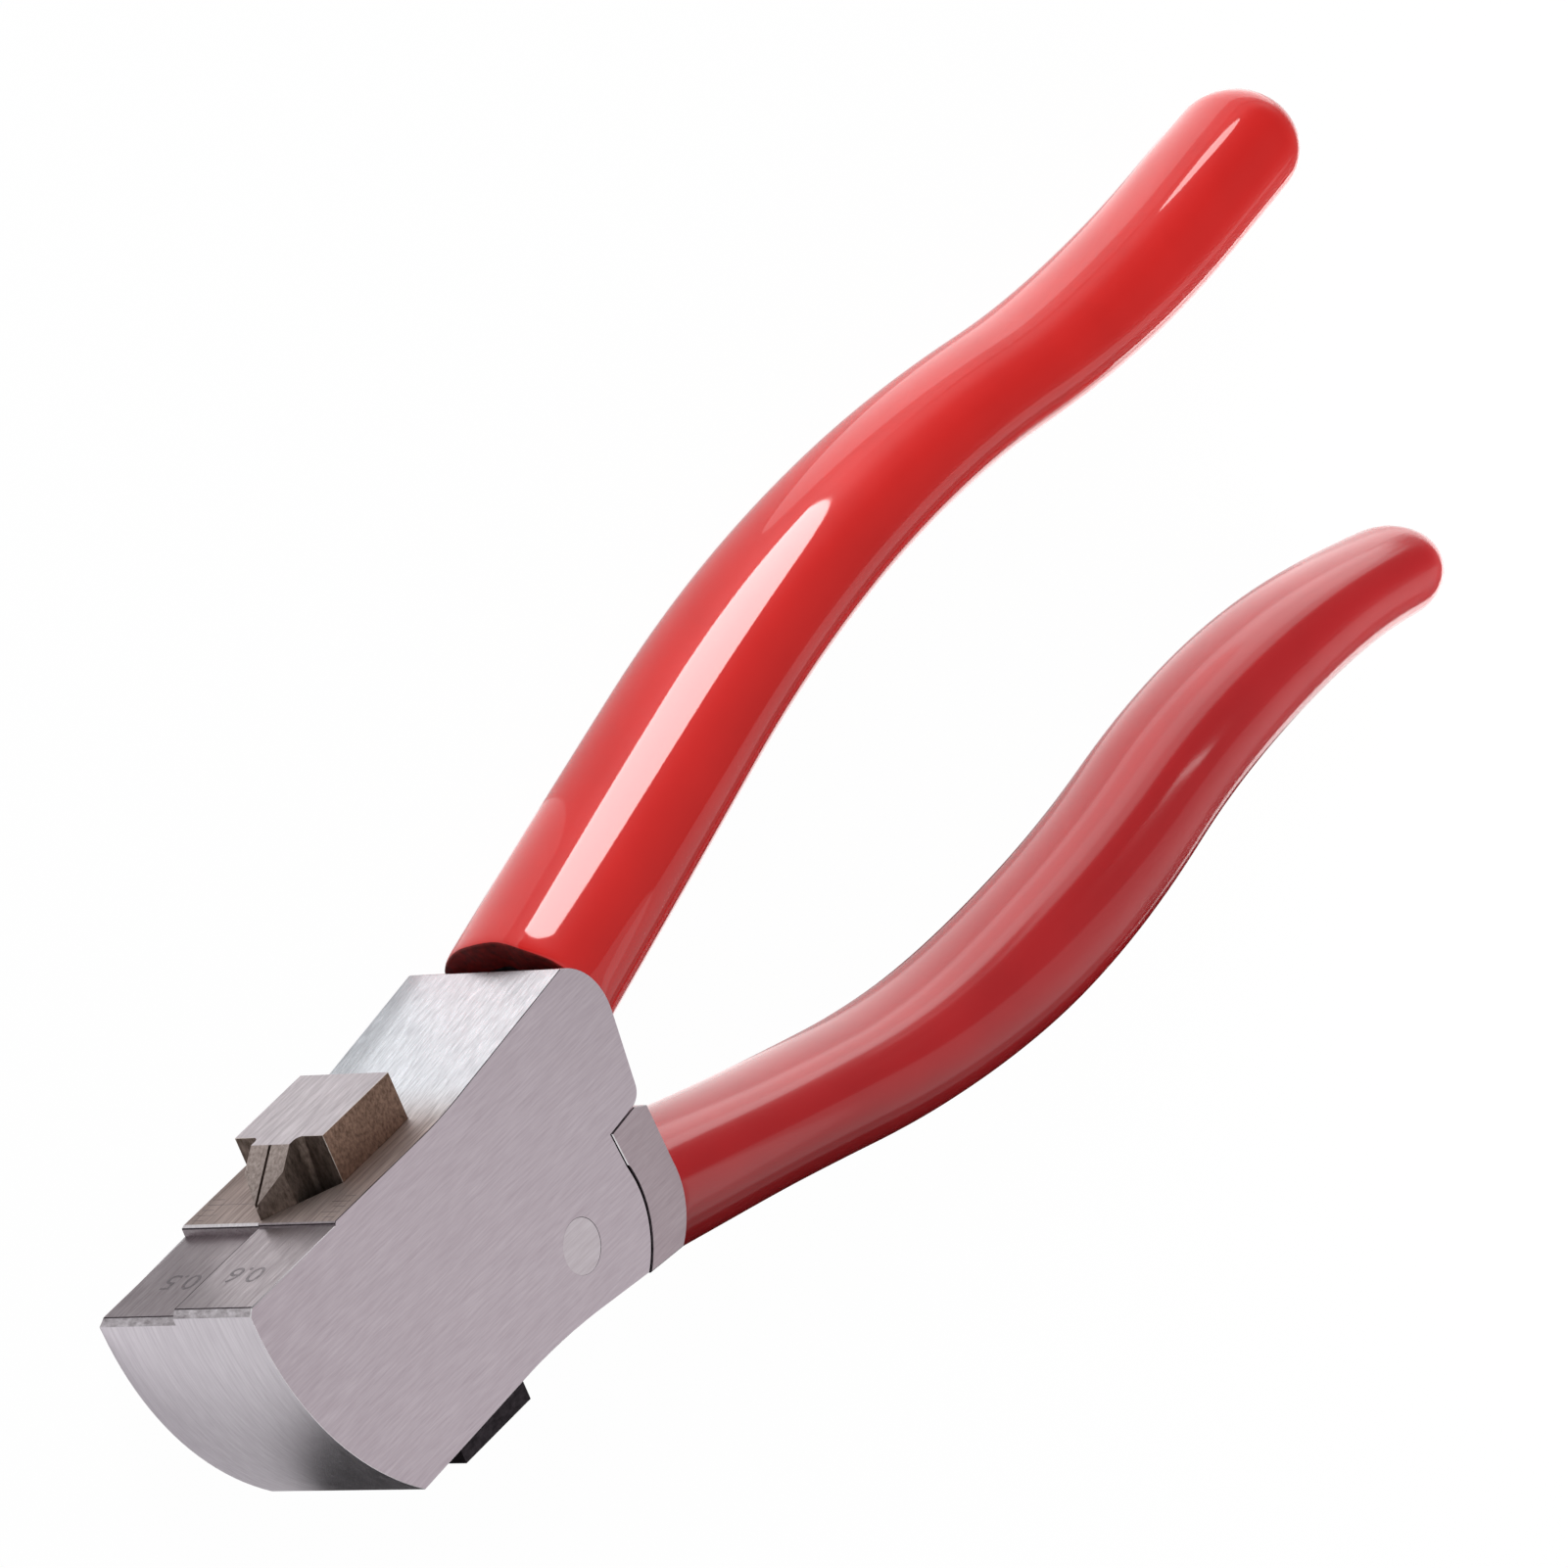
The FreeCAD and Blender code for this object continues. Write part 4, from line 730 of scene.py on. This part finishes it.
def handle_sleeve(name, node, body, vinyl, line, length, heights, thicknesses, overhang):
    """Vinyl sleeve drawn ring by ring along the handle, from inside its mouth to its round end."""
    sleeve_length = length - END_LENGTH
    rings = [(BORE_DEPTH, MOUTH_BORE, MOUTH_BORE), (0.0, MOUTH_BORE, MOUTH_BORE)]
    for distance, shrink in MOUTH_RINGS:
        rings.append((distance, heights[0] * shrink, thicknesses[0] * shrink))
    count = int(sleeve_length / RING_STEP)
    for index in range(1, count + 1):
        share = index / count
        rings.append((sleeve_length * share, smooth_value(heights, share), smooth_value(thicknesses, share)))
    for index in range(1, END_RINGS):
        angle = math.pi / 2 * index / END_RINGS
        rings.append((sleeve_length + END_LENGTH * math.sin(angle),
                      heights[-1] * math.cos(angle), thicknesses[-1] * math.cos(angle)))
    bm = bmesh.new()
    place = ring_place(line, *rings[0])
    bmesh.ops.create_circle(bm, cap_ends=False, segments=RING_SIDES, radius=1.0, matrix=place)
    edges = bm.edges[:]
    for ring in rings[1:]:
        made = bmesh.ops.extrude_edge_only(bm, edges=edges)["geom"]
        verts = [item for item in made if isinstance(item, bmesh.types.BMVert)]
        edges = [item for item in made if isinstance(item, bmesh.types.BMEdge)
                 and all(vert in verts for vert in item.verts)]
        next_place = ring_place(line, *ring)
        bmesh.ops.transform(bm, matrix=next_place @ place.inverted(), verts=verts)
        place = next_place
    bmesh.ops.contextual_create(bm, geom=edges)
    bmesh.ops.recalc_face_normals(bm, faces=bm.faces)
    trim_mouth(bm, line, heights[0], overhang)
    return make_piece(bm, name, body, [vinyl, CUT_VINYL], [node], ROUND_SHARP)


upper_sleeve = handle_sleeve("upper_grip_sleeve", "fixed_handle_grip", "head", UPPER_VINYL, UPPER_LINE,
                             UPPER_LENGTH, UPPER_HEIGHTS, UPPER_THICKNESSES, UPPER_OVERHANG)
lower_sleeve = handle_sleeve("lower_grip_sleeve", "lever_grip", "lever", LOWER_VINYL, LOWER_LINE,
                             LOWER_LENGTH, LOWER_HEIGHTS, LOWER_THICKNESSES, LOWER_OVERHANG)


# CAD nodes that keep their shape

SLOT_FINISHES = {"pin_steel": PIN_STEEL, "handle_steel": FORGED_STEEL, "black_screw_steel": BLACK_STEEL,
                 "bronze": BRONZE}
for subpart in frame["record"]["subparts"]:
    finish = SLOT_FINISHES.get(subpart["material_slot"])
    if finish:
        frame["nodes"][subpart["node"]].material_slots[0].material = finish


# Floor, light and camera

FLOOR_HALF_SIZE = 4.0
FLOOR_DROP = 0.00005
# Shares of white glow in the floor, as the camera and as reflections see it.
CAMERA_GLOW = 0.985
MIRROR_GLOW = 0.18


def white_stage_floor():
    """Pale floor that glows white to the camera and faintly in reflections, with a faint shadow."""
    bm = bmesh.new()
    bmesh.ops.create_grid(bm, x_segments=1, y_segments=1, size=FLOOR_HALF_SIZE)
    bmesh.ops.translate(bm, verts=bm.verts, vec=(0, 0, -FLOOR_DROP))
    mesh = bpy.data.meshes.new("pale_floor")
    bm.to_mesh(mesh)
    bm.free()
    material, tree, _ = new_material("pale_floor_paper")
    path = add_node(tree, "ShaderNodeLightPath")
    mirrored = add_node(tree, "ShaderNodeMath",
                        {0: path.outputs["Is Glossy Ray"], 1: path.outputs["Is Transmission Ray"]},
                        operation="MAXIMUM")
    mirrored_share = add_node(tree, "ShaderNodeMath", {0: mirrored.outputs[0], 1: MIRROR_GLOW},
                              operation="MULTIPLY")
    share = add_node(tree, "ShaderNodeMath",
                     {0: path.outputs["Is Camera Ray"], 1: CAMERA_GLOW, 2: mirrored_share.outputs[0]},
                     operation="MULTIPLY_ADD", use_clamp=True)
    paper = add_node(tree, "ShaderNodeBsdfDiffuse", {"Color": linear("#f6f6f6")})
    glow = add_node(tree, "ShaderNodeEmission", {"Color": (1, 1, 1, 1), "Strength": 1.0})
    mixed = add_node(tree, "ShaderNodeMixShader",
                     {0: share.outputs[0], 1: paper.outputs[0], 2: glow.outputs[0]})
    finish_material(tree, mixed)
    mesh.materials.append(material)
    floor = bpy.data.objects.new("pale_floor", mesh)
    bpy.context.scene.collection.objects.link(floor)


white_stage_floor()

# Three dark cards of painted shade: width and depth, and place just above the floor.
CARD_LIFT = 0.00002
PAINTED_SHADE_CARDS = [((0.068, 0.10), (-0.046, -0.064, CARD_LIFT)), ((0.135, 0.80), (0.0925, -0.414, CARD_LIFT)),
               ((0.44, 0.56), (0.38, -0.37, CARD_LIFT))]


def painted_shade_cards():
    """Dark sheets of painted shade on the floor, seen only in reflections: in the nose and along the lower
    handle's edge.
    """
    bm = bmesh.new()
    for size, place in PAINTED_SHADE_CARDS:
        bmesh.ops.create_grid(bm, x_segments=1, y_segments=1, size=0.5,
                              matrix=Matrix.Translation(place) @ Matrix.Diagonal((*size, 1, 1)))
    mesh = bpy.data.meshes.new("painted_shade_cards")
    bm.to_mesh(mesh)
    bm.free()
    material, tree, _ = new_material("painted_shade_card")
    cloth = add_node(tree, "ShaderNodeBsdfDiffuse", {"Color": linear("#101010")})
    finish_material(tree, cloth)
    mesh.materials.append(material)
    card = bpy.data.objects.new("painted_shade_cards", mesh)
    card.visible_camera = False
    card.visible_diffuse = False
    card.visible_shadow = False
    bpy.context.scene.collection.objects.link(card)


painted_shade_cards()

# Brightness of the room, its ceiling, the wall behind the handles and the side before the nose.
ROOM_LEVEL = 0.18
CEILING_LEVEL = 0.4
WALL_LEVEL = 0.5
NOSE_ROOM_LEVEL = 0.5
# Heights on the sky where the ceiling begins and is complete, and where the wall begins to fade and ends.
CEILING_START = 0.62
CEILING_FULL = 0.95
WALL_FADE = 0.02
WALL_END = 0.35
# Directions of the wall and of the side before the nose, and cosines where each begins and is complete.
WALL_DIRECTION = (0.755, 0.634, 0.17)
WALL_START = 0.80
WALL_FULL = 0.96
NOSE_ROOM_DIRECTION = (-0.81, -0.30, 0.51)
NOSE_ROOM_START = 0.15
NOSE_ROOM_FULL = 0.6


def glow_towards(tree, place, direction, start, full):
    """Soft-edged spot on the sky: start and full are the cosines where it begins and is complete."""
    closeness = add_node(tree, "ShaderNodeVectorMath", {0: place, 1: direction}, operation="DOT_PRODUCT")
    spot = add_node(tree, "ShaderNodeMapRange",
                    {"Value": closeness.outputs["Value"], "From Min": start, "From Max": full},
                    interpolation_type="SMOOTHSTEP")
    return spot.outputs["Result"]


def studio_world():
    """Dim room: lighter ceiling, pale wall behind the handles, and a pale side that only reflections show."""
    world = bpy.data.worlds.new("studio_room")
    bpy.context.scene.world = world
    world.use_nodes = True
    tree = world.node_tree
    tree.nodes.clear()
    place = add_node(tree, "ShaderNodeTexCoord").outputs["Generated"]
    height = add_node(tree, "ShaderNodeSeparateXYZ", {0: place}).outputs["Z"]
    ceiling = add_node(tree, "ShaderNodeMapRange",
                       {"Value": height, "From Min": CEILING_START, "From Max": CEILING_FULL,
                        "To Min": ROOM_LEVEL, "To Max": CEILING_LEVEL})
    wall_top = add_node(tree, "ShaderNodeMapRange",
                        {"Value": height, "From Min": WALL_FADE, "From Max": WALL_END,
                         "To Min": WALL_LEVEL, "To Max": 0.0}, interpolation_type="SMOOTHSTEP")
    wall = glow_towards(tree, place, WALL_DIRECTION, WALL_START, WALL_FULL)
    level = add_node(tree, "ShaderNodeMath",
                     {0: wall, 1: wall_top.outputs["Result"], 2: ceiling.outputs["Result"]},
                     operation="MULTIPLY_ADD")
    path = add_node(tree, "ShaderNodeLightPath")
    mirrored_room = add_node(tree, "ShaderNodeMath", {0: path.outputs["Is Glossy Ray"], 1: NOSE_ROOM_LEVEL},
                             operation="MULTIPLY")
    nose_room = glow_towards(tree, place, NOSE_ROOM_DIRECTION, NOSE_ROOM_START, NOSE_ROOM_FULL)
    whole = add_node(tree, "ShaderNodeMath", {0: nose_room, 1: mirrored_room.outputs[0], 2: level.outputs[0]},
                     operation="MULTIPLY_ADD")
    seen = add_node(tree, "ShaderNodeMix", {0: path.outputs["Is Camera Ray"], 2: whole.outputs[0], 3: 1.0},
                    data_type="FLOAT")
    background = add_node(tree, "ShaderNodeBackground", {"Color": (1, 1, 1, 1), "Strength": seen.outputs[0]})
    add_node(tree, "ShaderNodeOutputWorld", {"Surface": background.outputs[0]})


studio_world()


def soft_lamp(name, place, target, width, height, radiance, shape="ELLIPSE", diffuse=True, glossy=True):
    """Soft box or white card: radiance is the brightness it shows in a mirror."""
    lamp = bpy.data.lights.new(name, "AREA")
    lamp.shape = shape
    lamp.size = width
    lamp.size_y = height
    area = width * height * (math.pi / 4 if shape == "ELLIPSE" else 1)
    lamp.energy = radiance * area * math.pi
    holder = bpy.data.objects.new(name, lamp)
    holder.location = place
    holder.rotation_mode = "QUATERNION"
    holder.rotation_quaternion = (Vector(target) - Vector(place)).to_track_quat("-Z", "Y")
    holder.visible_camera = False
    holder.visible_diffuse = diffuse
    holder.visible_glossy = glossy
    bpy.context.scene.collection.objects.link(holder)
    return holder


def white_card(name, place, facing, width, height, radiance, shape="RECTANGLE"):
    """White card that shows in glossy surfaces and lights nothing else."""
    target = Vector(place) + Vector(facing)
    return soft_lamp(name, place, target, width, height, radiance, shape, diffuse=False)


def shine_only_on(pieces, *lamps):
    """Keeps lamps to some pieces, as flags in a studio do."""
    lit = bpy.data.collections.new(lamps[0].name + "_pieces")
    for piece in pieces:
        lit.objects.link(piece)
    for lamp in lamps:
        lamp.light_linking.receiver_collection = lit


# A card that lies on the floor is turned a hair towards +Y, which keeps its sides along X and Y.
FLOOR_CARD = 0.00005
FACE_UP = (0, 0.001, 1)

# The key light and the fill are soft and show in no mirror.
soft_lamp("key_soft_box", (0.10, 0.60, 0.36), (0.05, 0.01, 0.01), 0.40, 0.40, 8.7, glossy=False)
soft_lamp("side_fill", (0.26, -0.10, 0.07), (0.13, -0.01, 0.01), 0.12, 0.12, 10.0, glossy=False)
# Soft boxes that show only as highlights: one beside the upper handle, turned towards the nose, one at that
# handle's end, a narrow one over the lower handle and one over the ground face.
strip_box = soft_lamp("strip_soft_box", (0.1186, 0.1830, 0.0330), (0.0222, 0.0681, 0.0330),
                      0.1235, 0.1782, 12.0, diffuse=False)
tip_box = soft_lamp("tip_soft_box", (0.1728, 0.0546, 0.0178), (0.1568, 0.0436, 0.0148),
                    0.0123, 0.0034, 7.0, diffuse=False)
glint_box = soft_lamp("glint_soft_box", (0.1530, 0.0031, 0.0618), (0.1158, -0.0137, 0.0179),
                      0.019, 0.0026, 6.0, diffuse=False)
soft_lamp("face_soft_box", (0.062, -0.047, 0.117), (-0.022, 0.008, 0.021), 0.12, 0.12, 0.40, diffuse=False)
# White cards lie on the floor beside the upper handle, beside the ramp and between the handles. Two stand
# beside the lower handle, one above the other, and one hangs over its other side.
back_card = white_card("back_card", (0.200, 0.0570, FLOOR_CARD), FACE_UP, 0.22, 0.040, 0.75, "ELLIPSE")
white_card("ramp_card", (0.005, 0.045, FLOOR_CARD), FACE_UP, 0.07, 0.036, 0.40)
white_card("gap_card", (0.125, 0.005, FLOOR_CARD), FACE_UP, 0.20, 0.028, 0.8)
lever_card = white_card("lever_card", (0.145, 0.019, 0.0135), (0, -1, 0), 0.19, 0.027, 2.0)
high_card = white_card("high_lever_card", (0.185, 0.019, 0.0320), (0, -1, 0), 0.13, 0.010, 1.4)
over_card = white_card("over_card", (0.187, -0.107, 0.070), (0.026, 0.0965, -1), 0.26, 0.14, 0.38)
# A large soft box behind the handles shows only in steel that is seen from the other side.
steel_box = soft_lamp("steel_soft_box", (0.50, 0.42, 0.44), (0.0, 0.0, 0.02), 0.60, 0.50, 0.9, diffuse=False)
# Each of these lamps is kept to the pieces whose highlights it makes.
shine_only_on([upper_sleeve], strip_box, tip_box, back_card)
shine_only_on([upper_sleeve, lower_sleeve], lever_card, high_card, over_card)
shine_only_on([lower_sleeve], glint_box)
shine_only_on([front_half, back_half, root, bar, pin], steel_box)


# Camera: sensor and lens in millimetres, clipping distances, directions of its axes and place.
SENSOR_WIDTH = 36.0
LENS = 300.9
CLIP_START = 0.05
CLIP_END = 50.0
CAMERA_RIGHT = (0.5296, -0.3585, 0.7687)
CAMERA_UP = (0.5155, 0.8558, 0.0440)
CAMERA_BACK = (-0.6736, 0.3730, 0.6381)
CAMERA_PLACE = (-0.8672, 0.5327, 0.8936)


def photo_camera():
    """Camera where the photo was taken from, as fitted to the head's edges."""
    camera = bpy.data.cameras.new("photo_camera")
    camera.sensor_width = SENSOR_WIDTH
    camera.lens = LENS
    camera.clip_start = CLIP_START
    camera.clip_end = CLIP_END
    holder = bpy.data.objects.new("photo_camera", camera)
    place = Matrix.Identity(4)
    place.col[0] = (*CAMERA_RIGHT, 0)
    place.col[1] = (*CAMERA_UP, 0)
    place.col[2] = (*CAMERA_BACK, 0)
    place.col[3] = (*CAMERA_PLACE, 1)
    holder.matrix_world = place
    bpy.context.scene.collection.objects.link(holder)
    bpy.context.scene.camera = holder


photo_camera()
bpy.context.scene.view_settings.view_transform = "Standard"
